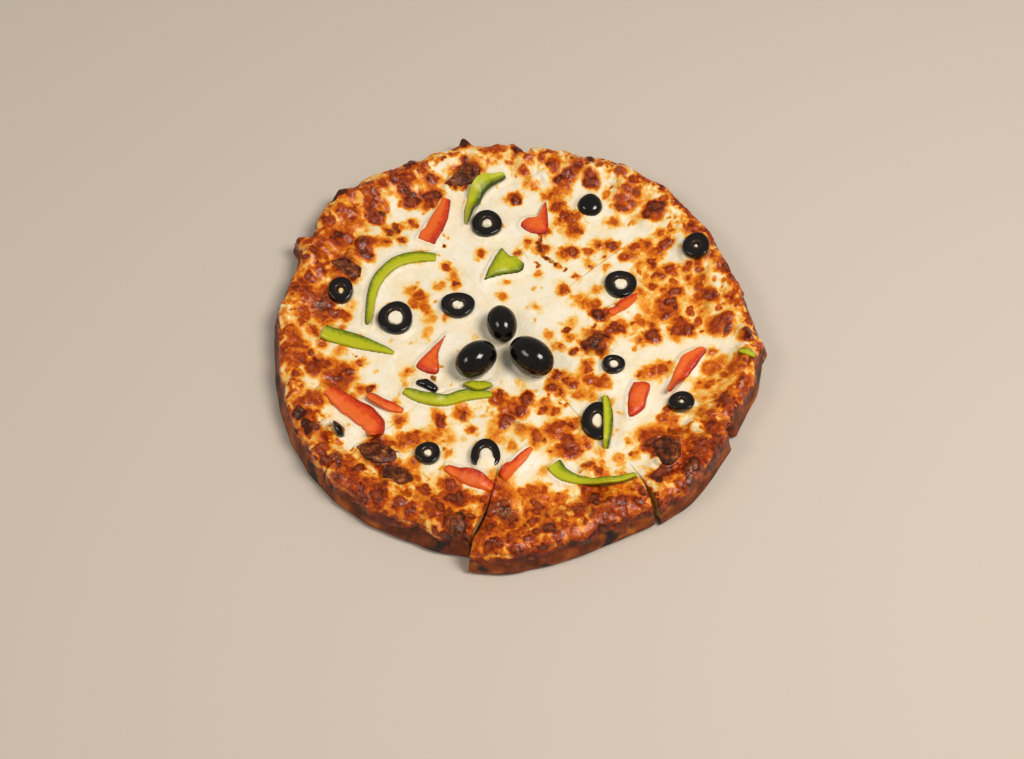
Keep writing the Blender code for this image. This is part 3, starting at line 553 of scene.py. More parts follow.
def rim_radius(index, share, wobble=EDGE_WOBBLE):
    """Radius of the edge of a slice, at shares of the way from its first cut to its next."""
    first, second = cut_angles(index)
    angle = mix(first, second, share)
    radius = along(SLICES[index][0], share)
    for middle, reach, spread in EDGE_FEATURES:
        away = numpy.abs((angle - middle + 180.0) % 360.0 - 180.0)
        swell = reach * 0.5 * (1.0 + numpy.cos(math.pi * away / spread))
        radius = radius + numpy.where(away < spread, swell, 0.0)
    turn = numpy.radians(angle)
    return radius + wobble * 0.5 * (numpy.sin(23 * turn + 1.3) + numpy.sin(41 * turn + 4.0))


def stray(cut, share):
    """How far a cut has left its straight line, to the left."""
    return along((0.0, *CUTS[cut][1], 0.0), share)


def plan_point(index, share, radius, widths=None):
    """Points of a slice in plan, clear of both its cuts, whose widths may be given at even stations."""
    first, second = cut_angles(index)
    after = (index + 1) % len(CUTS)
    way = radius / rim_radius(index, share)
    offsets = []
    for cut in (index, after):
        if widths is None:
            offsets.append(0.5 * (KERF + along(CUTS[cut][2], way)))
        else:
            offsets.append(0.5 * along(widths[cut], way))
    point = radius[..., None] * unit(mix(first, second, share))
    point = point + ((1.0 - share) * (stray(index, way) + offsets[0]))[..., None] * unit(first + 90.0)
    return point + (share * (stray(after, way) - offsets[1]))[..., None] * unit(second + 90.0)


def close_to(x, y, place, reach):
    """Which places lie in a square round one place."""
    return (numpy.abs(x - place[0]) < reach) & (numpy.abs(y - place[1]) < reach)


def make_lumps():
    """Places, radii and heights of the lumps that the cheese has baked into."""
    draw = random.Random(LUMP_SEED)
    lumps = []
    for step in range(LUMP_COUNT):
        angle = 360.0 * (step + draw.random()) / LUMP_COUNT
        inward = mix(*LUMP_BAND, draw.random())
        place = unit(angle) * (MEAN_RADIUS - inward)
        lumps.append((place, mix(*LUMP_RADIUS, draw.random()), mix(*LUMP_HEIGHT, draw.random())))
    for step in range(MOUND_COUNT):
        angle = 360.0 * (step * MOUND_TURN + 0.1 * draw.random())
        place = unit(angle) * MOUND_REACH * math.sqrt((step + 0.5) / MOUND_COUNT)
        lumps.append((place, mix(*MOUND_RADIUS, draw.random()), mix(*MOUND_HEIGHT, draw.random())))
    return lumps


LUMPS = make_lumps()


def lump_height(x, y):
    """Height that the lumps add at places."""
    height = numpy.zeros_like(x)
    for place, radius, rise in LUMPS:
        near = close_to(x, y, place, radius)
        away = ((x[near] - place[0]) ** 2 + (y[near] - place[1]) ** 2) / radius ** 2
        height[near] += rise * numpy.clip(1.0 - away, 0.0, 1.0) ** 2
    return height


def ripple(x, y, size, seed):
    """Smooth random values from -1 to 1 that change over about the given size."""
    table = numpy.random.default_rng(seed).uniform(-1.0, 1.0, (NOISE_CELLS, NOISE_CELLS))
    turn = 0.6 + seed
    u = (math.cos(turn) * x - math.sin(turn) * y) / size + NOISE_CELLS
    v = (math.sin(turn) * x + math.cos(turn) * y) / size + NOISE_CELLS
    column = numpy.floor(u).astype(int)
    row = numpy.floor(v).astype(int)
    s = ease(u - column)
    t = ease(v - row)
    corners = [table[(row + j) % NOISE_CELLS, (column + i) % NOISE_CELLS] for j in (0, 1) for i in (0, 1)]
    return mix(mix(corners[0], corners[1], s), mix(corners[2], corners[3], s), t)


def waves(x, y, terms, start=0.0):
    """A value plus ripples, each with its own height, size and seed."""
    total = start
    for height, size, seed in terms:
        total = total + height * ripple(x, y, size, seed)
    return total


def smooth_profile(column):
    """Finely spaced values of one column of the rim's rows, with the corners rounded."""
    stations = numpy.arange(0.0, PROFILE_REACH, PROFILE_STEP)
    rim_foot = RIM_ROWS[0][0]
    foot = rim_foot + (1.0 - INNER_LAST) * (MEAN_RADIUS - rim_foot - TIP_RADIUS)
    rows = ((foot, DOUGH_FLOOR, CHEESE_DEPTH),) + RIM_ROWS
    inward = [row[0] for row in rows][::-1]
    values = numpy.interp(stations, inward, [row[column] for row in rows][::-1])
    window = numpy.hanning(PROFILE_WINDOW)
    padded = numpy.pad(values, PROFILE_WINDOW // 2, mode="edge")
    return stations, numpy.convolve(padded, window / window.sum(), mode="valid")


DOUGH_PROFILE = smooth_profile(1)
DEPTH_PROFILE = smooth_profile(2)


def dough_height(index, inward):
    """Height of the dough's top under the cheese."""
    return mix(DOUGH_FLOOR, numpy.interp(inward, *DOUGH_PROFILE), SLICES[index][1])


def cheese_height(index, x, y, inward):
    """Height of the cheese before anything finer than the frame's lumps."""
    depth = numpy.interp(inward, *DEPTH_PROFILE)
    relief = numpy.maximum(lump_height(x, y), -0.6 * depth)
    return dough_height(index, inward) + GAP + depth + relief


def wall_controls(index, shares, wobble=WALL_WOBBLE, steady=0.0):
    """Rows of points down the crust's side, with dents of a given depth and a foot as steady as given."""
    rim_scale = SLICES[index][1]
    edge = RIM_ROWS[-1]
    angles = mix(*cut_angles(index), shares)
    radius = rim_radius(index, shares)
    top = mix(DOUGH_FLOOR, edge[1], rim_scale)
    rows = [(plan_point(index, shares, radius - edge[0]), numpy.full(len(shares), top))]
    coarse = numpy.linspace(0.0, 1.0, RIM_SEGMENTS + 1)
    coarse_angles = mix(*cut_angles(index), coarse)
    for inward, height in WALL_ROWS:
        if height > DOUGH_FLOOR:
            height = mix(DOUGH_FLOOR, height, rim_scale)
        spots = (rim_radius(index, coarse) - inward)[:, None] * unit(coarse_angles) / WALL_WAVELENGTH
        dents = [noise.noise(Vector((spot[0], spot[1], height / WALL_WAVELENGTH))) for spot in spots]
        dent = along(dents, shares)
        calm = steady * (1.0 - height / WALL_ROWS[0][1])
        reach = mix(radius, rim_radius(index, shares, 0.0), calm)
        places = plan_point(index, shares, reach - inward + wobble * dent * (1.0 - calm))
        rows.append((places, numpy.full(len(shares), height)))
    return angles, rows


def footprint_shift():
    """The move that brings the middle of the footprint to the frame's origin."""
    shares = numpy.linspace(0.0, 1.0, RIM_SEGMENTS + 1)
    rim = []
    for index in range(len(SLICES)):
        rim += [places for places, _ in wall_controls(index, shares)[1][1:]]
    rim = numpy.concatenate(rim)
    return -(rim.min(axis=0) + rim.max(axis=0)) / 2


SHIFT = footprint_shift()


def where_is(x, y):
    """The slice under places, and how far in from its edge they are."""
    angle = numpy.degrees(numpy.arctan2(y, x))
    slice_index = numpy.zeros(x.shape, int)
    inward = numpy.zeros_like(x)
    for index in range(len(SLICES)):
        first, second = cut_angles(index)
        share = ((angle - first) % 360.0) / (second - first)
        inside = share < 1.0
        slice_index[inside] = index
        reach = rim_radius(index, numpy.clip(share, 0.0, 1.0))
        inward[inside] = (reach - numpy.hypot(x, y))[inside]
    return slice_index, inward


def plain_height(x, y):
    """Height of the cheese at places anywhere, before its finer relief."""
    slice_index, inward = where_is(x, y)
    height = numpy.zeros_like(x)
    for index in range(len(SLICES)):
        own = slice_index == index
        height[own] = cheese_height(index, x[own], y[own], inward[own])
    return height


def on_cheese(across, down):
    """The place on the cheese that shows at a point of the picture."""
    tilt = math.radians(CAMERA_ELEVATION)
    focal = PICTURE[0] * LENS / SENSOR
    across = (numpy.asarray(across, float) - PICTURE[0] / 2) / focal
    up = (PICTURE[1] / 2 - numpy.asarray(down, float)) / focal
    eye_y = CAMERA_TARGET[1] - CAMERA_DISTANCE * math.cos(tilt)
    eye_z = CAMERA_DISTANCE * math.sin(tilt)
    ray_y = math.cos(tilt) + up * math.sin(tilt)
    ray_z = -math.sin(tilt) + up * math.cos(tilt)
    height = numpy.full_like(across, FIRST_GUESS)
    for _ in range(4):
        reach = (height - eye_z) / ray_z
        x = CAMERA_TARGET[0] + reach * across
        y = eye_y + reach * ray_y
        height = plain_height(x, y)
    return x, y


def on_cheese_discs(group):
    """Discs on the cheese for circles of the picture: place and radius of each."""
    across, down, radii = numpy.array(group, float).T
    x, y = on_cheese(across, down)
    return list(zip(x, y, radii * PIXEL_SIZE))


def strip_frame(line, widths, shares):
    """Along a strip: its middle, the direction to its left and half its width."""
    middle = along_line(line, shares)
    heading = along_line(line, shares + 0.02) - along_line(line, shares - 0.02)
    heading = heading / numpy.linalg.norm(heading, axis=1)[:, None]
    return middle, numpy.stack([-heading[:, 1], heading[:, 0]], axis=1), along(widths, shares) / 2


def outline_of_strip(line, widths):
    """The outline of a strip in plan."""
    middle, left, half = strip_frame(line, widths, numpy.linspace(0.0, 1.0, OUTLINE_SIDES // 2))
    half = half[:, None]
    return numpy.concatenate([middle + left * half, (middle - left * half)[::-1]])


def oval(place, radii, sides, share=1.0):
    """Points of an uneven oval."""
    angle = 360.0 * numpy.arange(sides) / sides
    uneven = 1.0 + 0.03 * numpy.sin(numpy.radians(3 * angle) + place[0])
    return numpy.asarray(place) + unit(angle) * numpy.asarray(radii) * (share * uneven)[:, None]


def closed_border(outline, count):
    """Points of the smooth closed line through an outline."""
    closed = list(outline) + [outline[0]]
    return along_line(closed, numpy.arange(count) / count)


def outline_distance(x, y, outline):
    """Distance to an outline, negative inside it."""
    nearest = numpy.full(x.shape, 1e9)
    inside = numpy.zeros(x.shape, bool)
    for a, b in zip(outline, numpy.roll(outline, -1, axis=0)):
        step = b - a
        share = numpy.clip(((x - a[0]) * step[0] + (y - a[1]) * step[1]) / (step @ step + 1e-9), 0.0, 1.0)
        away = numpy.hypot(x - a[0] - share * step[0], y - a[1] - share * step[1])
        nearest = numpy.minimum(nearest, away)
        crosses = (a[1] > y) != (b[1] > y)
        rise = step[1] if abs(step[1]) > 1e-9 else 1e-9
        inside ^= crosses & (x < a[0] + (y - a[1]) * step[0] / rise)
    return numpy.where(inside, -nearest, nearest)


def topping_outlines():
    """The outline of every topping, and the holes of the olive rings."""
    outlines = []
    holes = []
    for _, place, radii, hole in OLIVE_RINGS:
        outlines.append(oval(place, radii, OUTLINE_SIDES))
        holes.append(oval(place, radii, OUTLINE_SIDES, hole / max(radii)))
    outlines.append(oval(OLIVE_END[1], OLIVE_END[2], OUTLINE_SIDES))
    for _, line, widths in OLIVE_BITS + PEPPER_STRIPS + TOMATO_STRIPS:
        outlines.append(outline_of_strip(line, widths))
    for _, outline, _ in PEPPER_PATCHES + TOMATO_PATCHES + MUSHROOM_PATCHES:
        outlines.append(closed_border(outline, OUTLINE_SIDES))
    for _, place, length, thickness, heading in WHOLE_OLIVES:
        angle = numpy.arange(OUTLINE_SIDES) * 360.0 / OUTLINE_SIDES
        ring = unit(angle) * (WHOLE_FOOT * length, WHOLE_FOOT * thickness)
        lengthwise = ring[:, :1] * unit(heading)
        outlines.append(numpy.asarray(place) + lengthwise + ring[:, 1:] * unit(heading + 90.0))
    return outlines, holes


OUTLINES, HOLES = topping_outlines()
FIRST_WHOLE = len(OUTLINES) - len(WHOLE_OLIVES)
FIRST_MUSHROOM = FIRST_WHOLE - len(MUSHROOM_PATCHES)


def cover_discs():
    """Place, radius and rise of the cheese that has run over toppings."""
    discs = on_cheese_discs([cover[:3] for cover in COVERS])
    return [(*disc, cover[3]) for disc, cover in zip(discs, COVERS)]


COVER_DISCS = cover_discs()


def beside(x, y, outline, margin=0.0):
    """Which places lie in the box round an outline, with a margin."""
    low = outline.min(axis=0) - margin
    high = outline.max(axis=0) + margin
    return (x > low[0]) & (x < high[0]) & (y > low[1]) & (y < high[1])


def topping_fields(x, y):
    """How far the cheese rises to the toppings, how much relief it keeps, and where rings shade it."""
    rise = numpy.zeros_like(x)
    keep = numpy.ones_like(x)
    shaded = numpy.zeros_like(x)
    for number, outline in enumerate(OUTLINES):
        near = beside(x, y, outline, HUG_REACH)
        if not near.any():
            continue
        away = outline_distance(x[near], y[near], outline)
        if FIRST_MUSHROOM <= number < FIRST_WHOLE:
            uneven = waves(x[near], y[near], MUSHROOM_EDGE, away)
            hug = MUSHROOM_HUG * ease(1.0 - (uneven + 0.6) / HUG_REACH)
            hug = numpy.where(uneven > -1.4, hug, 0.0)
        else:
            hug = numpy.where(away > 0, HUG_RISE * ease(1.0 - away / HUG_REACH), 0.5 * HUG_RISE)
            hug = numpy.where(away < -1.2, 0.0, hug)
        rise[near] = numpy.maximum(rise[near], hug)
        keep[near] = numpy.minimum(keep[near], ease((away + 0.6) / 1.8))
    for outline in HOLES:
        near = beside(x, y, outline)
        if near.any():
            away = outline_distance(x[near], y[near], outline)
            filled = HOLE_FILL * ease(-away / 0.8) + 0.4
            rise[near] = numpy.where(away < 0, filled, rise[near])
            shaded[near] = numpy.maximum(shaded[near], ease(1.0 - away))
    for place_x, place_y, radius, height in COVER_DISCS:
        near = close_to(x, y, (place_x, place_y), 1.4 * radius)
        if near.any():
            away = numpy.hypot(x[near] - place_x, y[near] - place_y) / radius
            share = hump(numpy.maximum(waves(x[near], y[near], COVER_EDGE, away), 0.0), 0.9)
            rise[near] = mix(rise[near], height, share)
            keep[near] = numpy.maximum(keep[near], share)
    return rise, keep, shaded


def rim_baking(angle, column):
    """One column of the baking round the edge, at angles."""
    stations = [row[0] for row in RIM_BAKING]
    values = [row[column] for row in RIM_BAKING]
    return numpy.interp(angle % 360.0, stations + [360.0], values + [values[0]])


def blisters(draw, x, y, radius, tones, rise):
    """Small blisters that fill a browned spot: place, radius, tone, rise, stretch and turn of each."""
    count = max(int(round(BLISTER_CROWD * (radius / BLISTER_RADIUS) ** 2)), 1)
    found = []
    for _ in range(count):
        reach = radius * BLISTER_SPREAD * math.sqrt(draw.random()) * (count > 1)
        turn = 2 * math.pi * draw.random()
        own = BLISTER_RADIUS * mix(*BLISTER_SIZES, draw.random() ** 2)
        own = min(own, 0.9 * radius)
        tone = mix(*tones, draw.random())
        place = (x + reach * math.cos(turn), y + reach * math.sin(turn))
        height = min(rise * own, BLISTER_TALLEST)
        stretch = mix(*BLISTER_STRETCH, draw.random())
        found.append((*place, own, tone, height, stretch, math.pi * draw.random()))
    return found


STAINS = on_cheese_discs(MUSHROOM_STAINS)
FLECKS_AND_SHADOWS = on_cheese_discs(DARK_FLECKS_AND_SHADOWS)
CHARS = on_cheese_discs(CHARRED_KNOBS)
WARMTH = on_cheese_discs(WARM_PATCHES)
CLEAN = on_cheese_discs(CLEAN_PATCHES)


def disc_field(x, y, discs, softness):
    """1 inside any of the discs, falling to 0 at their edges."""
    field = numpy.zeros_like(x)
    for place_x, place_y, radius in discs:
        near = numpy.flatnonzero(close_to(x, y, (place_x, place_y), radius))
        if len(near):
            away = numpy.hypot(x[near] - place_x, y[near] - place_y) / radius
            field[near] = numpy.maximum(field[near], ease(softness * (1.0 - away)))
    return field


def random_spot(x, y, picks):
    """A small spot, likelier where the edge or a warm patch has browned the cheese, or none."""
    here = (numpy.array([x]), numpy.array([y]))
    inward = float(where_is(*here)[1][0])
    if inward < SPILL:
        return []
    width = 0.6 * float(rim_baking(numpy.array([math.degrees(math.atan2(y, x))]), 1)[0])
    baked = 1.0 - min(max((inward - width) / width, 0.0), 1.0)
    baked = max(baked, WARM_CHANCE * float(disc_field(*here, WARMTH, 2.0)[0]))
    if picks[0] > mix(*SPOT_CHANCES, baked):
        return []
    radius = mix(mix(*PALE_RADII, picks[1]), mix(*BAKED_RADII, picks[1] ** 2), baked)
    tone = mix(mix(*PALE_TONES, picks[2]), mix(*BAKED_TONES, picks[2]), baked)
    height = (0.10 + 0.12 * baked) * radius
    return [(x, y, radius, tone, height, mix(*BLISTER_STRETCH, picks[3]), math.pi * picks[4])]


def make_spots():
    """The browned spots' beds and the blisters on them, first those of the picture, then random ones."""
    draw = random.Random(SPOT_SEED)
    beds = []
    spots = []
    for group, bed, tones, rise in SPOT_GROUPS:
        for place_x, place_y, radius in on_cheese_discs(group):
            stretch = mix(*BED_STRETCH, draw.random())
            turn = math.pi * draw.random()
            beds.append((place_x, place_y, radius, bed, BED_RISE * rise * radius, stretch, turn))
            spots += blisters(draw, place_x, place_y, radius, tones, rise)
    steps = int(2 * FIELD_REACH / SPOT_SPACING)
    for row in range(steps):
        for column in range(steps):
            x = (column + 0.5 * (row % 2) + draw.random() - 0.5) * SPOT_SPACING - FIELD_REACH
            y = (row + draw.random() - 0.5) * SPOT_SPACING - FIELD_REACH
            spots += random_spot(x, y, [draw.random() for _ in range(5)])
    return beds, spots


BEDS, SPOTS = make_spots()


def halo(away, radius, start, reach, power):
    """How strongly a spot tints the cheese round it, at distances in shares of its radius."""
    return numpy.clip(1.0 - (away - start) * radius / (reach + 0.5 * radius), 0.0, 1.0) ** power


def spot_marks(x, y, warp_x, warp_y):
    """What the spots do at places: brownness, how clear the cheese stays round them, rise, and where dark
    blisters get a painted highlight on their domes.
    """
    core = numpy.zeros_like(x)
    clear = numpy.ones_like(x)
    rise = numpy.zeros_like(x)
    dome = numpy.zeros_like(x)
    low = numpy.array([x.min(), y.min()]) - SPOT_MARGIN
    high = numpy.array([x.max(), y.max()]) + SPOT_MARGIN
    for number, (place_x, place_y, radius, tone, height, stretch, turn) in enumerate(BEDS + SPOTS):
        if not (low[0] < place_x < high[0] and low[1] < place_y < high[1]):
            continue
        near = numpy.flatnonzero(close_to(x, y, (place_x, place_y), 1.9 * radius + 4.4))
        if not len(near):
            continue
        dx = warp_x[near] - place_x
        dy = warp_y[near] - place_y
        u = (math.cos(turn) * dx + math.sin(turn) * dy) / (radius * stretch)
        v = (math.cos(turn) * dy - math.sin(turn) * dx) * stretch / radius
        away = numpy.sqrt(u * u + v * v)
        swell = 1.15 * height * hump(away / 1.3, 1.5)
        if number < len(BEDS):
            body = numpy.interp(away, *BED_BODY)
            clear[near] *= 1.0 - BED_TINT * min(tone + 0.18, 0.8) * halo(away, radius, *BED_HALO)
            rise[near] += swell
        else:
            body = numpy.interp(away, *BLISTER_BODY)
            clear[near] *= 1.0 - BLISTER_TINT * min(tone, 0.8) * halo(away, radius, *BLISTER_HALO)
            rise[near] = numpy.maximum(rise[near], swell)
            # Dark blisters get a painted highlight on their domes.
            if tone > DOME_HIGHLIGHT_TONE:
                dome[near] = numpy.maximum(dome[near], hump(away / 0.72))
        core[near] = numpy.maximum(core[near], tone * body)
    return core, clear, rise, dome


def bake(x, y):
    """What baking has done at places: brownness, rise and mushroom stains; and where painted highlights on
    blister domes and black flecks with painted shadows go.
    """
    warp_x = waves(x, y, WARP_X, x)
    warp_y = waves(x, y, WARP_Y, y)
    core, clear, rise, dome = spot_marks(x, y, warp_x, warp_y)
    angle = numpy.degrees(numpy.arctan2(y, x))
    _, inward = where_is(x, y)
    width = rim_baking(angle, 1)
    patchy = waves(x, y, PATCHY)
    crust = rim_baking(angle, 2) * ease((1.2 * width - inward + 5.0 * patchy) / (0.75 * width))
    crust = crust * (0.70 + 0.60 * patchy)
    edge = EDGE_TONE * ease((EDGE_WIDTH - inward + 2.6 * patchy) / 4.6)
    pale = ease(3.0 * (ripple(x, y, 2.1, 16) - 0.22))
    crust = numpy.maximum(crust * (1.0 - PALE_SHARE * pale), 0.21 * ease(2.5 * crust))
    glow = numpy.clip((1.0 - clear) * waves(x, y, MOTTLE, 1.0), 0.0, 1.0)
    glow = glow * (1.0 - 0.55 * pale)
    core = core * waves(x, y, CORE_GRAIN, 1.0)
    brown = numpy.maximum(core, numpy.maximum(crust, edge))
    brown = 1.0 - (1.0 - brown) * (1.0 - 0.25 * glow)
    brown = numpy.maximum(brown, HALO_TONE * glow) + 0.06 * patchy + BASE_TONE
    streaks = numpy.clip(waves(x, y, STREAKS, 0.52), 0.0, 1.0)
    brown = numpy.maximum(brown, WARM_TONE * streaks * disc_field(warp_x, warp_y, WARMTH, 2.0))
    clean = disc_field(warp_x, warp_y, CLEAN, 1.5) * ease(0.9 + 0.9 * ripple(x, y, 2.8, 22))
    brown = brown * (1.0 - CLEAN_SHARE * clean)
    brown = numpy.maximum(brown, CHAR_TONE * disc_field(warp_x, warp_y, CHARS, 3.0))
    stain = disc_field(warp_x, warp_y, STAINS, 1.5)
    stain *= ease(0.5 + 1.4 * waves(x, y, STAIN_GRAIN))
    # Black flecks and painted shadows beside toppings: they darken the cheese's colour and its browning.
    fleck_shadow_field = disc_field(warp_x, warp_y, FLECKS_AND_SHADOWS, 1.8)
    fleck = FLECK_AND_SHADOW_SHARE * fleck_shadow_field * ease(0.5 + 1.2 * ripple(x, y, 1.6, 10))
    uneven = numpy.clip(0.8 + 0.5 * ripple(x, y, 2.0, 23), 0.0, 1.0)
    brown = numpy.maximum(brown, FLECK_AND_SHADOW_TONE * fleck_shadow_field * uneven)
    return numpy.clip(brown, 0.0, 1.0), rise * (1.0 - 0.7 * clean), dome * (1.0 - clean), stain, fleck


def seam_fields(index, share, radius):
    """How far a slice's surface falls at its cuts, which are deeper where they stand open."""
    rim = rim_radius(index, share)
    way = radius / rim
    first, second = cut_angles(index)
    arc = numpy.radians(second - first) * radius
    fall = numpy.zeros_like(radius)
    for cut, side in ((index, share), ((index + 1) % len(CUTS), 1.0 - share)):
        width = numpy.maximum(along(SEAMS[cut], way), 0.0)
        open_share = numpy.minimum(width, 1.0)
        reach = 0.7 + 1.3 * open_share
        near = numpy.clip(1.0 - side * arc / reach, 0.0, 1.0)
        depth = 0.05 + 1.1 * open_share
        fall = numpy.maximum(fall, depth * (1.0 - numpy.sqrt(1.0 - near ** 2)) + 0.25 * depth * near)
    return fall * ease((radius - 1.0) / 10.0 + 0.25)


class Shell:
    """Points, faces and painted values of one piece, gathered row by row."""

    def __init__(self):
        self.points = []
        self.count = 0
        self.quads = []
        self.faces = []
        self.kinds = []
        self.quad_kinds = []
        self.values = {}

    def row(self, places, heights, **values):
        """Add a row of points and return their numbers."""
        block = numpy.column_stack([places, heights])
        self.points.append(block)
        for name, value in values.items():
            self.values.setdefault(name, []).append((self.count, numpy.broadcast_to(value, len(block))))
        numbers = numpy.arange(self.count, self.count + len(block))
        self.count += len(block)
        return numbers

    def join(self, inner, outer, kind=0, closed=False):
        """Faces between two rows, which may have different numbers of points."""
        if closed:
            inner = numpy.append(inner, inner[0])
            outer = numpy.append(outer, outer[0])
        if len(inner) == len(outer):
            quads = numpy.stack([inner[:-1], outer[:-1], outer[1:], inner[1:]], axis=1)
            self.quads.append(quads)
            self.quad_kinds.append(numpy.full(len(quads), kind))
            return
        i = 0
        j = 0
        while i < len(inner) - 1 or j < len(outer) - 1:
            next_inner = (i + 1) / max(len(inner) - 1, 1)
            next_outer = (j + 1) / max(len(outer) - 1, 1)
            if j < len(outer) - 1 and (next_outer <= next_inner or i == len(inner) - 1):
                self.face((inner[i], outer[j], outer[j + 1]), kind)
                j += 1
            else:
                self.face((inner[i], outer[j], inner[i + 1]), kind)
                i += 1

    def skin(self, rows, closed=False):
        """Faces between each row and the next."""
        for inner, outer in zip(rows, rows[1:]):
            self.join(inner, outer, closed=closed)

    def face(self, corners, kind=0):
        """Add one face."""
        self.faces.append([int(corner) for corner in corners])
        self.kinds.append(kind)

    def fan(self, corner, ends, kind=0):
        """Triangles between one point and a row."""
        for one, other in zip(ends, ends[1:]):
            self.face((corner, one, other), kind)

    def caps(self, rows):
        """A face across the first row and one across the last."""
        self.face(rows[0])
        self.face(rows[-1])

    def finish(self, name, materials, slot, nodes, sharp=None):
        """Make the mesh object, ride it on the body and let it stand for its nodes."""
        points = numpy.concatenate(self.points)
        points[:, 0] += SHIFT[0]
        points[:, 1] += SHIFT[1]
        faces = []
        kinds = []
        for quads, own in zip(self.quads, self.quad_kinds):
            faces += quads.tolist()
            kinds += own.tolist()
        faces += self.faces
        kinds += self.kinds
        mesh = bpy.data.meshes.new(name)
        mesh.from_pydata((points * MM).tolist(), [], faces)
        for material in materials:
            mesh.materials.append(material)
        mesh.polygons.foreach_set("material_index", kinds)
        for key, blocks in self.values.items():
            values = numpy.zeros(self.count, numpy.float32)
            for start, block in blocks:
                values[start:start + len(block)] = block
            layer = mesh.attributes.new(key, "FLOAT", "POINT")
            layer.data.foreach_set("value", values)
        mesh.validate()
        mesh.shade_smooth()
        mesh.update()
        piece = bpy.data.objects.new(name, mesh)
        bpy.context.scene.collection.objects.link(piece)
        recalculate(mesh)
        if sharp:
            mesh.set_sharp_from_angle(angle=math.radians(sharp))
        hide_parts(*nodes)
        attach(piece, "root")
        return piece


def recalculate(mesh):
    """Turn the faces of a mesh outward."""
    work = bmesh.new()
    work.from_mesh(mesh)
    bmesh.ops.recalc_face_normals(work, faces=work.faces)
    work.to_mesh(mesh)
    work.free()


def crowded(count):
    """Shares from 0 to 1 that crowd towards both ends."""
    t = numpy.linspace(0.0, 1.0, count + 1)
    return t - EDGE_PULL * numpy.sin(2 * math.pi * t) / (2 * math.pi)


def columns_at(way):
    """Number of columns of the cheese at a share of the way to the edge."""
    return next(columns for limit, columns in CHEESE_BANDS if way < limit)


def wall_surface(index, shares, steps):
    """Points down the crust's side at steps, and the directions away from it, as (rows, columns, 3)."""
    angles, controls = wall_controls(index, shares, SIDE_WOBBLE, SIDE_STEADY)
    xs = numpy.stack([places[:, 0] for places, _ in controls])
    ys = numpy.stack([places[:, 1] for places, _ in controls])
    zs = numpy.stack([heights for _, heights in controls])
    surface = []
    for step in steps:
        at = numpy.array([step])
        surface.append(numpy.stack([along(block, at)[0] for block in (xs, ys, zs)], axis=1))
    surface = numpy.stack(surface)
    slope = numpy.gradient(surface, axis=0)
    radial = unit(angles)
    outward = (slope[..., 0] * radial[:, 0] + slope[..., 1] * radial[:, 1])
    fall = -slope[..., 2]
    size = numpy.hypot(outward, fall) + 1e-9
    away = numpy.stack([radial[:, 0] * fall / size, radial[:, 1] * fall / size, outward / size], axis=-1)
    return surface, away


def side_grid(angles, steps):
    """Millimetres round the rim and down the crust's side, as (steps, angles)."""
    around = numpy.radians(angles)[None, :] * MEAN_RADIUS + 0.0 * steps[:, None]
    down = steps[:, None] * WALL_ARC + 0.0 * angles[None, :]
    return around, down


def crust_relief(around, down):
    """Bubbles, ridges and grain of the crust's side."""
    bubbles = numpy.maximum(ripple(around, 1.3 * down, 6.5, 21), 0.0) ** 1.5
    ridges = ripple(around, 3.4 * down, 9.0, 22)
    return waves(around, down, CRUST_GRAIN, 0.40 * bubbles + 0.14 * ridges) - 0.15, bubbles, ridges


def cheese_top(index, shell):
    """The top of a slice's cheese: its rows of points, and its last row's shares, rim and heights."""
    tops = []
    for step in range(CHEESE_ROWS + 1):
        way = step / CHEESE_ROWS
        shares = crowded(columns_at(way))
        rim = rim_radius(index, shares)
        tops.append((shares, rim, mix(CHEESE_TIP, rim - EDGE_INWARD, way)))
    shares, rims, radii = (numpy.concatenate(column) for column in zip(*tops))
    places = plan_point(index, shares, radii, SEAMS)
    x, y = places.T
    brown, rise, dome, stain, fleck = bake(x, y)
    hug, keep, shaded = topping_fields(x, y)
    brown = brown * (1.0 - 0.8 * shaded)
    height = cheese_height(index, x, y, rims - radii)
    folds = waves(x, y, FOLDS)
    rough = waves(x, y, ROUGHNESS) * (0.25 + 1.5 * brown)
    height += keep * (rise + folds + rough) + hug - 0.5 * stain * keep * (0.4 + ripple(x, y, 1.5, 35))
    height -= seam_fields(index, shares, radii)
    painted = {"brown": brown, "dome": dome, "stain": stain, "fleck": fleck}
    rows = []
    start = 0
    for row_shares, _, _ in tops:
        part = slice(start, start + len(row_shares))
        own = {key: value[part] for key, value in painted.items()}
        rows.append(shell.row(places[part], height[part], **own))
        start = part.stop
    shell.skin(rows)
    return rows, tops[-1][0], tops[-1][1], height[part]


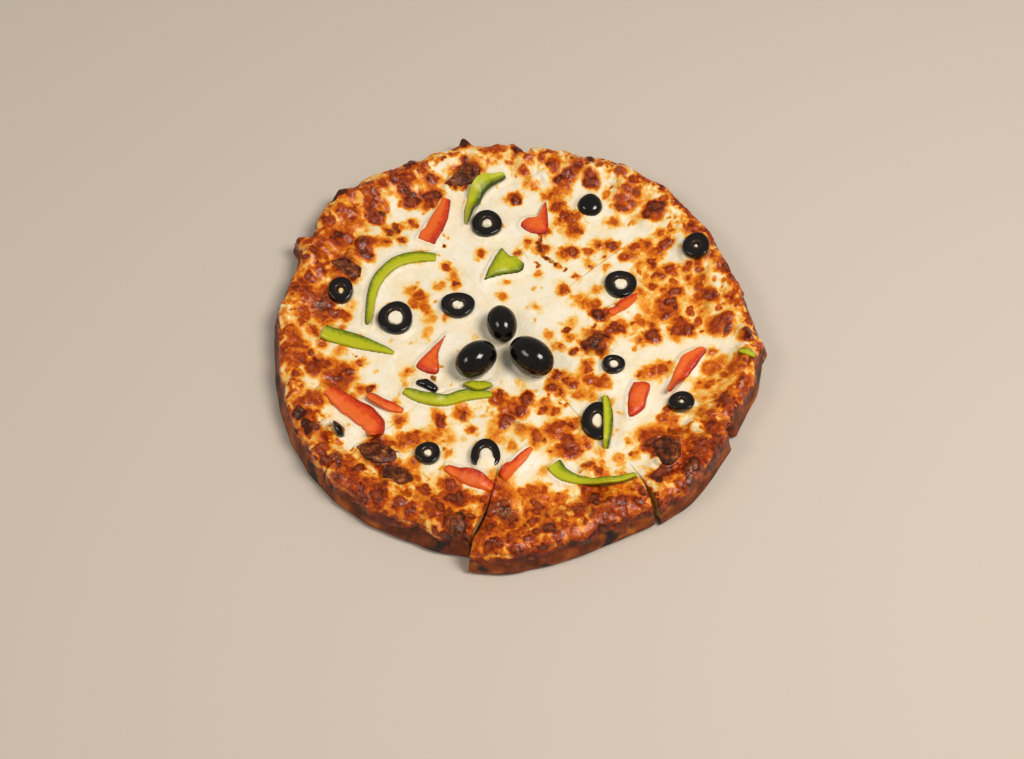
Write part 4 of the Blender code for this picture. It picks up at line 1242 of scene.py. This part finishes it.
def cheese_drape(index, shell, shares, rim, top_height):
    """The cheese's edge, which has run a little way down the crust's side and ends in drips."""
    surface, away = wall_surface(index, shares, numpy.linspace(0.0, DRAPE_SPAN, DRAPE_SAMPLES))
    angles = mix(*cut_angles(index), shares)
    around = numpy.radians(angles) * MEAN_RADIUS
    drip = waves(around, 0 * around, DRIPS, DRIP_REACH)
    middle, width, softness, less = DRIP_FEWER
    drip *= mix(1.0, less, ease((numpy.abs((angles % 360.0) - middle) - width) / -softness))
    drapes = []
    every = numpy.arange(len(shares))
    for step in range(1, DRAPE_ROWS + 1):
        share = step / DRAPE_ROWS
        down = numpy.clip(drip * share / DRAPE_SPAN * (DRAPE_SAMPLES - 1), 0.0, DRAPE_SAMPLES - 1.1)
        low = down.astype(int)
        part = (down - low)[:, None]
        base = mix(surface[low, every], surface[low + 1, every], part)
        way_out = mix(away[low, every], away[low + 1, every], part)
        arc = WALL_ARC * drip * share
        tone, rise, dome, _, _ = bake(*plan_point(index, shares, rim - EDGE_INWARD + arc).T)
        thick = DRAPE_DEPTH * math.sqrt(max(1.0 - share ** 2, 0.0)) - 0.35 * (step == DRAPE_ROWS)
        settle = ease(share * 3.0)
        bumps = waves(around, arc, DRAPE_BUMPS, 0.8 * rise * settle) * ease((1.0 - share) * 5.0)
        point = base + way_out * (thick + bumps)[:, None]
        lift = numpy.maximum(top_height - surface[0, :, 2] - thick, 0.0)
        point[:, 2] += lift * (1.0 - settle)
        tone = tone + 0.22 * ripple(around, arc, 4.5, 44) * settle + 0.14 * share
        drapes.append(shell.row(point[:, :2], point[:, 2], brown=tone, dome=dome, stain=0.0, fleck=0.0))
    return drapes


def cheese_underside(index, shell):
    """The rows of points under a slice's cheese."""
    shares = numpy.linspace(0.0, 1.0, UNDER_COLUMNS + 1)
    rim = rim_radius(index, shares)
    rows = []
    for step in range(0, CHEESE_ROWS + 1, UNDER_EVERY):
        radius = mix(CHEESE_TIP, rim - EDGE_INWARD, step / CHEESE_ROWS)
        low = dough_height(index, rim - radius) + GAP
        tone = 0.12 + 0.5 * ease((26.0 - rim + radius) / 14.0)
        places = plan_point(index, shares, radius, SEAMS)
        rows.append(shell.row(places, low, brown=tone, dome=0.0, stain=0.0, fleck=0.0))
    shell.skin(rows)
    return rows


def make_cheese(index):
    """The baked cheese of one slice: its top, its edge over the rim, its cut sides and its underside."""
    shell = Shell()
    rows, shares, rim, top_height = cheese_top(index, shell)
    drapes = cheese_drape(index, shell, shares, rim, top_height)
    chain = [rows[-1]] + drapes
    shell.skin(chain)
    under = cheese_underside(index, shell)
    for side in (0, -1):
        upper = numpy.array([row[side] for row in rows])
        lower = numpy.array([row[side] for row in under])
        shell.join(lower, upper)
        shell.fan(lower[-1], [row[side] for row in chain])
    shell.join(under[0], rows[0])
    shell.join(under[-1], drapes[-1])
    name = f"slice_{index + 1}_cheese"
    shell.finish(f"baked_{name}", [FINISHES["cheese"]], "cheese", [name], SHARP_ANGLE)


def dough_top(index):
    """Places and heights of the rows of the dough's hidden top, from the tip to the crust."""
    shares = numpy.linspace(0.0, 1.0, UNDER_COLUMNS + 1)
    rim = rim_radius(index, shares)
    tops = []
    for way in DOUGH_WAYS:
        radius = mix(TIP_RADIUS, rim - RIM_ROWS[0][0], way)
        tops.append((plan_point(index, shares, radius), dough_height(index, rim - radius)))
    for inward in DOUGH_INWARDS:
        heights = dough_height(index, numpy.full(len(shares), inward))
        tops.append((plan_point(index, shares, rim - inward), heights))
    return tops


def crust_side(index, shell):
    """The rows of points down the crust's browned side."""
    shares = numpy.linspace(0.0, 1.0, WALL_COLUMNS + 1)
    steps = numpy.linspace(0.0, 1.0, WALL_STEPS + 1)
    surface, away = wall_surface(index, shares, steps)
    around, down = side_grid(mix(*cut_angles(index), shares), steps)
    relief, bubbles, ridges = crust_relief(around, down)
    fade = ease(numpy.minimum(steps / 0.15, (1.0 - steps) / 0.45))[:, None]
    surface = surface + away * (relief * fade - 0.25 * (1.0 - fade))[..., None]
    surface[..., 2] = numpy.maximum(surface[..., 2], 0.0)
    surface[-1, :, 2] = 0.0
    # The side's colour value: darker towards the bottom, lighter on its bubbles and just under the lip.
    baked = 0.52 + 0.24 * ripple(around, 1.5 * down, 8.0, 25) + 0.16 * ridges
    baked = baked + 0.14 * ripple(around, down, 2.6, 26) - 0.22 * bubbles
    baked = baked + 0.18 * ease((steps[:, None] - 0.55) / 0.4) - 0.1 * ease(1.0 - steps[:, None] * 4)
    char = ease(2.6 * (ripple(around, down, 9.0, 27) - 0.45) + 0.5 * ripple(around, down, 2.0, 28))
    knobs = disc_field(surface[..., 0].ravel(), surface[..., 1].ravel(), CHARS, 2.5).reshape(char.shape)
    char = numpy.maximum(char, knobs * ease((surface[..., 2] - 5.0) / 4.0))
    lines = zip(surface, baked, char)
    return [shell.row(line[:, :2], line[:, 2], bake=bakes, char=chars) for line, bakes, chars in lines]


def make_dough(index):
    """The dough of one slice: its hidden top, its crust, its cut sides and its underside."""
    shell = Shell()
    tops = dough_top(index)
    rows = [shell.row(places, heights, bake=0.3, char=0.0) for places, heights in tops]
    walls = crust_side(index, shell)
    shell.skin(rows + walls)
    floor = []
    for side in (0, -1):
        places = numpy.array([line[side] for line, _ in tops])
        under = shell.row(places, numpy.zeros(len(places)), bake=0.3, char=0.0)
        floor.append(under)
        shell.join(under, numpy.array([row[side] for row in rows]), kind=CRUMB)
        shell.fan(under[-1], [rows[-1][side]] + [row[side] for row in walls], CRUMB)
    shell.face((floor[0][0], *rows[0], floor[1][0]), CRUMB)
    shell.face((*floor[0], *walls[-1], *floor[1][::-1]), UNDERSIDE)
    name = f"slice_{index + 1}_dough"
    materials = [FINISHES["crust"], FINISHES["crumb"], FINISHES["underside"]]
    shell.finish(f"baked_{name}", materials, "dough", [name], SHARP_ANGLE)


def node_tree(name):
    """A search tree of a frame node's mesh."""
    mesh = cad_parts[name].data
    points = [vertex.co.copy() for vertex in mesh.vertices]
    return BVHTree.FromPolygons(points, [list(face.vertices) for face in mesh.polygons])


def node_floor(tree, places):
    """Height of a node's lower side at places. A place beside the node takes its nearest point's."""
    heights = []
    for place in places:
        start = Vector(((place[0] + SHIFT[0]) * MM, (place[1] + SHIFT[1]) * MM, 0.0))
        hit = tree.ray_cast(start, Vector((0.0, 0.0, 1.0)))[0]
        if hit is None:
            hit = tree.find_nearest(start + Vector((0.0, 0.0, 0.014)))[0]
        heights.append(hit.z / MM)
    return numpy.array(heights)


def rest_plane(name):
    """The plane through the middle of a node: slopes along x and y, and its height at the hub."""
    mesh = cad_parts[name].data
    points = numpy.array([vertex.co for vertex in mesh.vertices]) / MM
    points[:, :2] -= SHIFT
    table = numpy.column_stack([points[:, :2], numpy.ones(len(points))])
    return numpy.linalg.lstsq(table, points[:, 2], rcond=None)[0]


def rounded(value, power):
    """A sine or cosine raised to a power, with its sign kept, for the section of a rounded bar."""
    return numpy.copysign(numpy.abs(value) ** power, value)


def make_ring(name, place, radii, hole):
    """A slice of olive with its hole: a dished cut face, a bulging skin."""
    shell = Shell()
    plane = rest_plane(name)
    hole_share = hole / max(radii)
    seed = int(abs(10 * place[0]))
    rows = []
    for degrees in range(-90, 270, 18):
        turn = math.radians(degrees)
        across = rounded(math.cos(turn), 0.55)
        up = 0.5 * RING_HEIGHT * rounded(math.sin(turn), 0.55)
        share = hole_share + (1.0 - hole_share) * (0.5 + 0.5 * across)
        places = oval(place, radii, RING_SIDES, share)
        wave = 0.14 * ripple(places[:, 0], places[:, 1], 2.4, seed)
        dish = -0.35 * (1.0 - across ** 2) * (up > 0)
        heights = places @ plane[:2] + plane[2] + up + dish + wave
        rows.append(shell.row(places, heights, rim=max(across, 0.0), hollow=max(-across, 0.0)))
    shell.skin(rows + rows[:1], closed=True)
    shell.finish(f"sliced_{name}", [FINISHES["olive"]], "olive", [name])


def make_end(name, place, radii):
    """The rounded end of an olive, cut side down."""
    shell = Shell()
    plane = rest_plane(name)
    middle = numpy.asarray(place) @ plane[:2]
    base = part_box(name)[0][2] / MM
    low = oval(place, radii, OLIVE_SIDES, 0.8)
    rows = []
    for step in range(END_STEPS + 1):
        turn = math.radians(90.0 * step / END_STEPS)
        places = oval(place, radii, OLIVE_SIDES, max(math.cos(turn) ** 0.75, 0.02))
        tilt = places @ plane[:2] - middle
        dent = 0.12 * ripple(places[:, 0], places[:, 1], 3.0, 61)
        heights = base + tilt + 0.4 + END_HEIGHT * math.sin(turn) ** 0.9 + dent
        rows.append(shell.row(places, heights, rim=1.0, hollow=0.0))
    rows.insert(0, shell.row(low, base + low @ plane[:2] - middle - 0.3, rim=1.0, hollow=0.0))
    shell.skin(rows, closed=True)
    shell.caps(rows)
    shell.finish(f"sliced_{name}", [FINISHES["olive"]], "olive", [name])


def make_whole(name, place, length, thickness, heading):
    """A whole olive on its side, with a stem scar at one end and faint dents."""
    shell = Shell()
    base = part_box(name)[0][2] / MM
    lowest = OLIVE_SPOT - thickness / 2
    around = numpy.radians(360.0 * numpy.arange(OLIVE_SIDES) / OLIVE_SIDES)
    rows = []
    for step in range(1, OLIVE_RINGS_ALONG):
        turn = math.pi * step / OLIVE_RINGS_ALONG
        reach = -math.cos(turn) * length / 2 + max(SCAR_STEPS - step, 0) * 0.22
        radius = math.sin(turn) ** 0.94 * thickness / 2
        swell = 1.0 + 0.012 * ripple(8.0 * around / math.pi, 0 * around + reach, 5.0, int(length))
        lateral = radius * numpy.cos(around) * swell
        up = numpy.maximum(radius * numpy.sin(around) * swell, lowest)
        places = numpy.asarray(place) + reach * unit(heading) + lateral[:, None] * unit(heading + 90.0)
        hollow = 0.8 if step < SCAR_STEPS - 1 else 0.0
        rows.append(shell.row(places, base - lowest + up, rim=1.0, hollow=hollow))
    shell.skin(rows, closed=True)
    shell.caps(rows)
    shell.finish(f"glossy_{name}", [FINISHES["olive"]], "olive", [name])


def strip_floor(name, line, widths, shares):
    """Heights of a strip node's lower side at its left and its right edge, at shares of its length."""
    tree = node_tree(name)
    pulled, _, _ = strip_frame(line, widths, numpy.clip(shares, 0.02, 0.98))
    _, left, half = strip_frame(line, widths, shares)
    one, other = [node_floor(tree, pulled + sign * 0.8 * half[:, None] * left) for sign in (1.0, -1.0)]
    return one + 0.125 * (one - other), other - 0.125 * (one - other)


def make_strip(name, line, widths, depth, finish, slot, dish=0.0, blunt=(False, False), ragged=0.0):
    """A strip that lies where its node does: rounded or dished, with softened ends and uneven borders."""
    shell = Shell()
    edge_left, edge_right = strip_floor(name, line, widths, numpy.linspace(0.0, 1.0, STRIP_STATIONS))
    steps = numpy.diff(along_line(line, numpy.linspace(0.0, 1.0, 40)), axis=0)
    length = float(numpy.linalg.norm(steps, axis=1).sum())
    shares = numpy.linspace(0.0, 1.0, max(int(length / STRIP_STEP), 20) + 1)
    middle, left, half = strip_frame(line, widths, shares)
    turn = numpy.radians(numpy.linspace(0.0, 180.0, 17))
    across = rounded(numpy.cos(turn), STRIP_ROUNDING)
    up = numpy.sin(turn) ** STRIP_ROUNDING
    seed = int(abs(7 * line[0][0]) + 3)
    grain_terms = ((0.16, 2.2, seed), (0.20, 5.0, seed + 1), (0.5 * ragged, 1.5, seed + 2))
    rows = []
    for number, share in enumerate(shares):
        square = blunt[0] if share < 0.5 else blunt[1]
        reach = (1.6 if square else 4.0) / length
        tuck = math.sqrt(max(1.0 - max(1.0 - min(share, 1.0 - share) / reach, 0.0) ** 2, 0.0))
        own_half = half[number] * mix(0.86 if square else 0.45, 1.0, tuck)
        tall = depth * min(1.0, 0.45 + half[number] / 4.0) * mix(0.35, 1.0, tuck)
        run = share * length + numpy.array([0.0, 60.0])
        sides = ripple(run, 0 * run, 4.2, seed + 5)
        uneven = 1.0 + ragged * numpy.where(across > 0, sides[0], sides[1])
        places = middle[number] + left[number] * (own_half * across * uneven)[:, None]
        at = numpy.array([share])
        low = mix(along(edge_right, at)[0], along(edge_left, at)[0], 0.5 + 0.5 * across)
        grain = waves(places[:, 0], places[:, 1], grain_terms)
        heights = low + tall * up - dish * tall * hump(across / 0.75) + grain * up
        bottom = middle[number] + left[number] * (own_half * numpy.array([-0.85, 0.85]))[:, None]
        places = numpy.concatenate([places, bottom])
        heights = numpy.concatenate([heights, [low[-1] - 0.9, low[0] - 0.9]])
        lateral = numpy.concatenate([across, [-1.0, 1.0]])
        rows.append(shell.row(places, heights, lateral=lateral, top=numpy.concatenate([up, [0.0, 0.0]])))
    shell.skin(rows, closed=True)
    shell.caps(rows)
    shell.finish(f"baked_{name}", [FINISHES[finish]], slot, [name])


def patch_floor(name, border, middle):
    """Smoothed heights of a broad node's lower side, ring by ring."""
    tree = node_tree(name)
    lows = [node_floor(tree, middle + (border - middle) * min(share, 0.93)) for share in PATCH_RINGS]
    lows = numpy.array(lows)
    for _ in range(6):
        around = (numpy.roll(lows, 1, axis=1) + numpy.roll(lows, -1, axis=1)) / 2
        across = numpy.pad(lows, ((1, 1), (0, 0)), mode="edge")
        lows = 0.4 * lows + 0.35 * around + 0.25 * (across[:-2] + across[2:]) / 2
    return lows


def make_patch(name, outline, depth, finish, slot, crags):
    """A broad piece that lies where its node does, thinner at its border, with crags."""
    shell = Shell()
    border = closed_border(outline, PATCH_SIDES)
    middle = border.mean(axis=0)
    lows = patch_floor(name, border, middle)
    seed = int(abs(11 * outline[0][0]))
    rows = []
    for share, low in zip(PATCH_RINGS, lows):
        ragged = 1.0 + 0.05 * crags * ripple(border[:, 0], border[:, 1], 2.0, seed) * share
        places = middle + (border - middle) * (share * ragged)[:, None]
        profile = max(1.0 - share ** 4, 0.0) ** 0.55
        swell = 0.16 * ripple(places[:, 0], places[:, 1], 5.0, seed + 1)
        cracks = crags * waves(places[:, 0], places[:, 1], ((0.36, 2.6, seed + 2), (0.20, 1.1, seed + 3)))
        heights = low + depth * profile * (1.0 + swell) + cracks * (0.35 + 0.65 * profile)
        rows.append(shell.row(places, heights, lateral=share ** 4, top=profile, way=cracks))
    bottom = middle + (border - middle) * 0.9
    under = shell.row(bottom, lows[-1] - 1.0, lateral=1.0, top=0.0, way=0.0)
    shell.skin(rows + [under], closed=True)
    shell.face(under)
    piece = shell.finish(f"baked_{name}", [FINISHES[finish]], slot, [name])
    weld(piece.data)


def weld(mesh):
    """Merge the points that lie on one another."""
    work = bmesh.new()
    work.from_mesh(mesh)
    bmesh.ops.remove_doubles(work, verts=work.verts, dist=1e-6)
    bmesh.ops.recalc_face_normals(work, faces=work.faces)
    work.to_mesh(mesh)
    work.free()


def shade(value):
    """A shader's colour for a grey from 0 to 1, or for a screen's red, green and blue from 0 to 255."""
    if not isinstance(value, tuple):
        return (value, value, value, 1.0)
    linear = []
    for part in value:
        share = part / 255.0
        linear.append(share / 12.92 if share <= 0.04045 else ((share + 0.055) / 1.055) ** 2.4)
    return (*linear, 1.0)


class Finish:
    """A material and a short way to add and link its nodes."""

    def __init__(self, name):
        self.material = bpy.data.materials.new(name)
        self.material.use_nodes = True
        self.tree = self.material.node_tree
        self.shader = self.tree.nodes["Principled BSDF"]

    def set(self, **values):
        """Constant values of the shader's own sockets, or links to them."""
        for name, value in values.items():
            self.feed(value, self.shader.inputs[name.replace("_", " ")])

    def feed(self, value, socket):
        """Link a socket to another, or give it a constant value."""
        if isinstance(value, bpy.types.NodeSocket):
            self.tree.links.new(value, socket)
        else:
            socket.default_value = value

    def attribute(self, name):
        """A painted value of the mesh."""
        node = self.tree.nodes.new("ShaderNodeAttribute")
        node.attribute_name = name
        return node.outputs["Fac"]

    def noise(self, size, detail=3.0, roughness=0.6):
        """Noise from 0 to 1 with bumps of about the given size in millimetres."""
        place = self.tree.nodes.new("ShaderNodeTexCoord")
        node = self.tree.nodes.new("ShaderNodeTexNoise")
        node.inputs["Scale"].default_value = 1.0 / (size * MM)
        node.inputs["Detail"].default_value = detail
        node.inputs["Roughness"].default_value = roughness
        self.feed(place.outputs["Object"], node.inputs["Vector"])
        return node.outputs["Fac"]

    def sum(self, first, second, factor=1.0, offset=0.0):
        """first + factor * second + offset."""
        scaled = self.tree.nodes.new("ShaderNodeMath")
        scaled.operation = "MULTIPLY_ADD"
        total = self.tree.nodes.new("ShaderNodeMath")
        total.operation = "ADD"
        for value, socket in zip((second, factor, offset), scaled.inputs):
            self.feed(value, socket)
        self.feed(first, total.inputs[0])
        self.feed(scaled.outputs[0], total.inputs[1])
        return total.outputs[0]

    def ramp(self, value, *stops):
        """A colour or grey for a value: stops of (place, colour or grey)."""
        node = self.tree.nodes.new("ShaderNodeValToRGB")
        elements = node.color_ramp.elements
        while len(elements) < len(stops):
            elements.new(0.5)
        for element, (place, colour) in zip(elements, stops):
            element.position = place
            element.color = shade(colour)
        self.feed(value, node.inputs["Fac"])
        return node.outputs["Color"]

    def blend(self, share, first, second, how="MIX"):
        """A mix of two colours."""
        node = self.tree.nodes.new("ShaderNodeMix")
        node.data_type = "RGBA"
        node.blend_type = how
        self.feed(share, node.inputs[0])
        for value, socket in ((first, node.inputs[6]), (second, node.inputs[7])):
            self.feed(shade(value) if isinstance(value, tuple) else value, socket)
        return node.outputs[2]

    def bump(self, value, depth):
        """Relief finer than the mesh, with its depth in millimetres."""
        node = self.tree.nodes.new("ShaderNodeBump")
        node.inputs["Distance"].default_value = depth * MM
        node.inputs["Strength"].default_value = 1.0
        self.feed(value, node.inputs["Height"])
        self.set(Normal=node.outputs["Normal"])


def cheese_finish():
    """Cream cheese that browns through yellow and orange to dark red-brown, oily all over."""
    finish = Finish("baked_cheese_look")
    brown = finish.attribute("brown")
    colour = finish.ramp(
        finish.sum(brown, finish.noise(1.2, 4.0, 0.7), 0.34, -0.17),
        (0.00, (239, 230, 211)),
        (0.11, (240, 220, 178)),
        (0.21, (238, 192, 104)),
        (0.32, (232, 154, 44)),
        (0.44, (214, 114, 20)),
        (0.60, (172, 68, 8)),
        (0.78, (124, 38, 4)),
        (0.98, (70, 24, 3)),
    )
    # A pinkish painted highlight on the domes of dark blisters.
    dome = finish.ramp(finish.attribute("dome"), (0.0, 0.0), (1.0, 0.42))
    colour = finish.blend(dome, colour, (166, 88, 52))
    patches = finish.ramp(finish.noise(9.0), (0.38, 0.0), (0.72, 0.55))
    colour = finish.blend(patches, colour, (248, 234, 206), "MULTIPLY")
    stain = finish.ramp(finish.attribute("stain"), (0.0, 0.0), (1.0, 0.50))
    stain_colour = finish.ramp(
        finish.noise(1.6, 4.0, 0.7),
        (0.30, (62, 28, 10)),
        (0.50, (122, 72, 34)),
        (0.72, (184, 140, 92)),
    )
    colour = finish.blend(stain, colour, stain_colour)
    # Black flecks and painted shadows.
    fleck = finish.ramp(finish.attribute("fleck"), (0.0, 0.0), (1.0, 0.88))
    colour = finish.blend(fleck, colour, (42, 20, 10))
    shine = finish.ramp(finish.sum(brown, finish.noise(2.4), 0.5, -0.25), (0.0, 0.42), (0.5, 0.20))
    finish.bump(finish.noise(0.9), 0.16)
    finish.set(Base_Color=colour, Roughness=shine, Specular_IOR_Level=0.26)
    finish.set(Subsurface_Weight=0.10, Subsurface_Radius=(1.0, 0.6, 0.3), Subsurface_Scale=0.0025)
    return finish.material


def crust_finish():
    """The browned side of the crust, with lighter ridges and charred spots."""
    finish = Finish("crust_look")
    colour = finish.ramp(
        finish.sum(finish.attribute("bake"), finish.noise(1.3, 4.0, 0.65), 0.30, -0.15),
        (0.05, (194, 106, 33)),
        (0.28, (154, 73, 16)),
        (0.48, (120, 50, 9)),
        (0.68, (92, 37, 6)),
        (0.95, (56, 24, 5)),
    )
    colour = finish.blend(finish.attribute("char"), colour, (40, 24, 18))
    shine = finish.ramp(finish.noise(3.0), (0.3, 0.40), (0.7, 0.60))
    finish.bump(finish.noise(0.8, 4.0), 0.18)
    finish.set(Base_Color=colour, Roughness=shine, Specular_IOR_Level=0.25)
    return finish.material


def crumb_finish():
    """Cut dough: pale crumb with small holes."""
    finish = Finish("crumb_look")
    colour = finish.ramp(
        finish.noise(1.2, 4.0, 0.7),
        (0.30, (140, 88, 44)),
        (0.50, (204, 160, 100)),
        (0.70, (226, 190, 134)),
    )
    browned = finish.ramp(finish.attribute("bake"), (0.32, 0.0), (0.46, 0.9))
    colour = finish.blend(browned, colour, (104, 50, 16))
    finish.bump(finish.noise(0.9), 0.4)
    finish.set(Base_Color=colour, Roughness=0.8, Specular_IOR_Level=0.3)
    return finish.material


def underside_finish():
    """The baked underside: tan, with browner patches."""
    finish = Finish("underside_look")
    colour = finish.ramp(
        finish.sum(finish.noise(9.0), finish.noise(2.0), 0.4, -0.2),
        (0.32, (216, 172, 112)),
        (0.50, (178, 118, 62)),
        (0.66, (112, 62, 32)),
        (0.80, (60, 34, 24)),
    )
    finish.bump(finish.noise(1.5), 0.3)
    finish.set(Base_Color=colour, Roughness=0.75)
    return finish.material


def olive_finish():
    """Black olive: glossy skin, a browner, duller cut face and hole."""
    finish = Finish("black_olive_look")
    skin = finish.ramp(finish.noise(2.0), (0.35, (6, 4, 4)), (0.75, (18, 13, 11)))
    flesh = finish.ramp(finish.noise(1.0), (0.3, (8, 6, 5)), (0.7, (26, 19, 15)))
    colour = finish.blend(finish.attribute("rim"), flesh, skin)
    hollow = finish.ramp(finish.attribute("hollow"), (0.3, 0.0), (1.0, 0.6))
    colour = finish.blend(hollow, colour, (66, 46, 32))
    shine = finish.ramp(finish.noise(1.6), (0.3, 0.08), (0.7, 0.17))
    finish.bump(finish.noise(0.9, 2.0), 0.035)
    finish.set(Base_Color=colour, Roughness=shine, Specular_IOR_Level=0.45)
    return finish.material


def pepper_finish():
    """Green pepper: yellow-green flesh between darker green edges."""
    finish = Finish("green_pepper_look")
    colour = finish.ramp(
        finish.sum(finish.attribute("lateral"), finish.noise(2.2, 4.0, 0.65), 1.0, -0.45),
        (0.00, (182, 182, 24)),
        (0.32, (156, 162, 12)),
        (0.66, (108, 122, 6)),
        (1.00, (50, 68, 4)),
    )
    # Darker green where the piece stands low: its flanks, border and underside.
    low = finish.ramp(finish.attribute("top"), (0.0, (60, 88, 10)), (0.62, (255, 255, 255)))
    colour = finish.blend(0.75, colour, low, "MULTIPLY")
    finish.bump(finish.noise(1.0), 0.08)
    finish.set(Base_Color=colour, Roughness=0.36, Specular_IOR_Level=0.35)
    finish.set(Subsurface_Weight=0.10, Subsurface_Radius=(0.6, 1.0, 0.3), Subsurface_Scale=0.002)
    return finish.material


def tomato_finish():
    """Baked tomato: orange-red flesh, redder at its border, wet."""
    finish = Finish("tomato_look")
    colour = finish.ramp(
        finish.sum(finish.attribute("lateral"), finish.noise(2.4, 4.0, 0.7), 1.5, -0.65),
        (0.05, (228, 102, 34)),
        (0.40, (214, 72, 18)),
        (0.78, (188, 46, 9)),
        (1.00, (158, 34, 6)),
    )
    finish.bump(finish.noise(1.2), 0.25)
    finish.set(Base_Color=colour, Roughness=0.32, Specular_IOR_Level=0.35)
    finish.set(Subsurface_Weight=0.10, Subsurface_Radius=(1.0, 0.3, 0.2), Subsurface_Scale=0.002)
    return finish.material


def mushroom_finish():
    """Baked mushroom: dark brown with tan ridges and black hollows."""
    finish = Finish("baked_mushroom_look")
    colour = finish.ramp(
        finish.sum(finish.noise(1.9, 4.0, 0.75), finish.attribute("way"), 0.40, -0.02),
        (0.28, (30, 12, 4)),
        (0.42, (74, 29, 9)),
        (0.55, (112, 50, 16)),
        (0.68, (152, 84, 33)),
        (0.80, (192, 134, 72)),
    )
    finish.bump(finish.noise(0.9, 4.0), 0.25)
    finish.set(Base_Color=colour, Roughness=0.36, Specular_IOR_Level=0.30)
    return finish.material


def stage_and_light():
    """A pale floor, soft studio light and the picture's camera."""
    scene = bpy.context.scene
    mesh = bpy.data.meshes.new("floor")
    corners = [(x * STAGE_REACH, y * STAGE_REACH, 0.0) for x, y in ((-1, -1), (1, -1), (1, 1), (-1, 1))]
    mesh.from_pydata(corners, [], [(0, 1, 2, 3)])
    floor = bpy.data.objects.new("floor", mesh)
    scene.collection.objects.link(floor)
    finish = Finish("floor_look")
    finish.set(Base_Color=shade(FLOOR_COLOUR), Roughness=0.8, Specular_IOR_Level=0.2)
    mesh.materials.append(finish.material)

    world = bpy.data.worlds.new("room")
    world.use_nodes = True
    world.node_tree.nodes["Background"].inputs[0].default_value = WORLD_COLOUR
    world.node_tree.nodes["Background"].inputs[1].default_value = WORLD_STRENGTH
    scene.world = world

    for name, azimuth, elevation, distance, size, power in LIGHTS:
        light = bpy.data.lights.new(name, "AREA")
        light.shape = "RECTANGLE"
        light.size = size[0]
        light.size_y = size[1]
        light.energy = power
        light.color = LIGHT_COLOUR
        lamp = bpy.data.objects.new(name, light)
        turn = math.radians(azimuth)
        up = math.radians(elevation)
        flat = distance * math.cos(up)
        lamp.location = (flat * math.sin(turn), -flat * math.cos(turn), distance * math.sin(up))
        lamp.rotation_euler = (Vector(LIGHT_AIM) - lamp.location).to_track_quat("-Z", "Y").to_euler()
        scene.collection.objects.link(lamp)

    lens = bpy.data.cameras.new("camera")
    lens.lens = LENS
    lens.sensor_width = SENSOR
    camera = bpy.data.objects.new("camera", lens)
    target = Vector(((CAMERA_TARGET[0] + SHIFT[0]) * MM, (CAMERA_TARGET[1] + SHIFT[1]) * MM, 0.0))
    tilt = math.radians(CAMERA_ELEVATION)
    camera.location = target + CAMERA_DISTANCE * MM * Vector((0.0, -math.cos(tilt), math.sin(tilt)))
    camera.rotation_euler = (math.radians(90.0 - CAMERA_ELEVATION), 0.0, 0.0)
    scene.collection.objects.link(camera)
    scene.camera = camera
    scene.view_settings.view_transform = "Standard"


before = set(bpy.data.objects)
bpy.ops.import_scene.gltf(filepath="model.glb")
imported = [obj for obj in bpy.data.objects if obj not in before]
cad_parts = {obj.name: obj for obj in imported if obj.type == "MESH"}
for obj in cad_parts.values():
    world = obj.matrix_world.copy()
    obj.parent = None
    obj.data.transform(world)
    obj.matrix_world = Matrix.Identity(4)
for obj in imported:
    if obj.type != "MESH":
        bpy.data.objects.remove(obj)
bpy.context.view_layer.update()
FINISHES = {
    "cheese": cheese_finish(),
    "crust": crust_finish(),
    "crumb": crumb_finish(),
    "underside": underside_finish(),
    "olive": olive_finish(),
    "pepper": pepper_finish(),
    "tomato": tomato_finish(),
    "mushroom": mushroom_finish(),
}
for number in range(len(SLICES)):
    make_cheese(number)
    make_dough(number)
for ring in OLIVE_RINGS:
    make_ring(*ring)
make_end(*OLIVE_END)
for whole in WHOLE_OLIVES:
    make_whole(*whole)
for name, line, widths in OLIVE_BITS:
    make_strip(name, line, widths, PEPPER_DEPTH, "olive", "olive")
for name, line, widths in PEPPER_STRIPS:
    blunt = (name in ("green_pepper_4", "green_pepper_8"), name == "green_pepper_2")
    make_strip(name, line, widths, PEPPER_DEPTH, "pepper", "green_pepper", 0.30, blunt, 0.07)
for name, line, widths in TOMATO_STRIPS:
    blunt = (False, name == "tomato_1")
    make_strip(name, line, widths, TOMATO_DEPTH, "tomato", "tomato", 0.16, blunt, 0.22)
for name, outline, share in PEPPER_PATCHES:
    make_patch(name, outline, PEPPER_DEPTH * share, "pepper", "green_pepper", 0.3)
for name, outline, share in TOMATO_PATCHES:
    make_patch(name, outline, TOMATO_DEPTH * share, "tomato", "tomato", 0.4)
for name, outline, share in MUSHROOM_PATCHES:
    make_patch(name, outline, MUSHROOM_DEPTH * share * 0.86, "mushroom", "mushroom", 1.0)
stage_and_light()
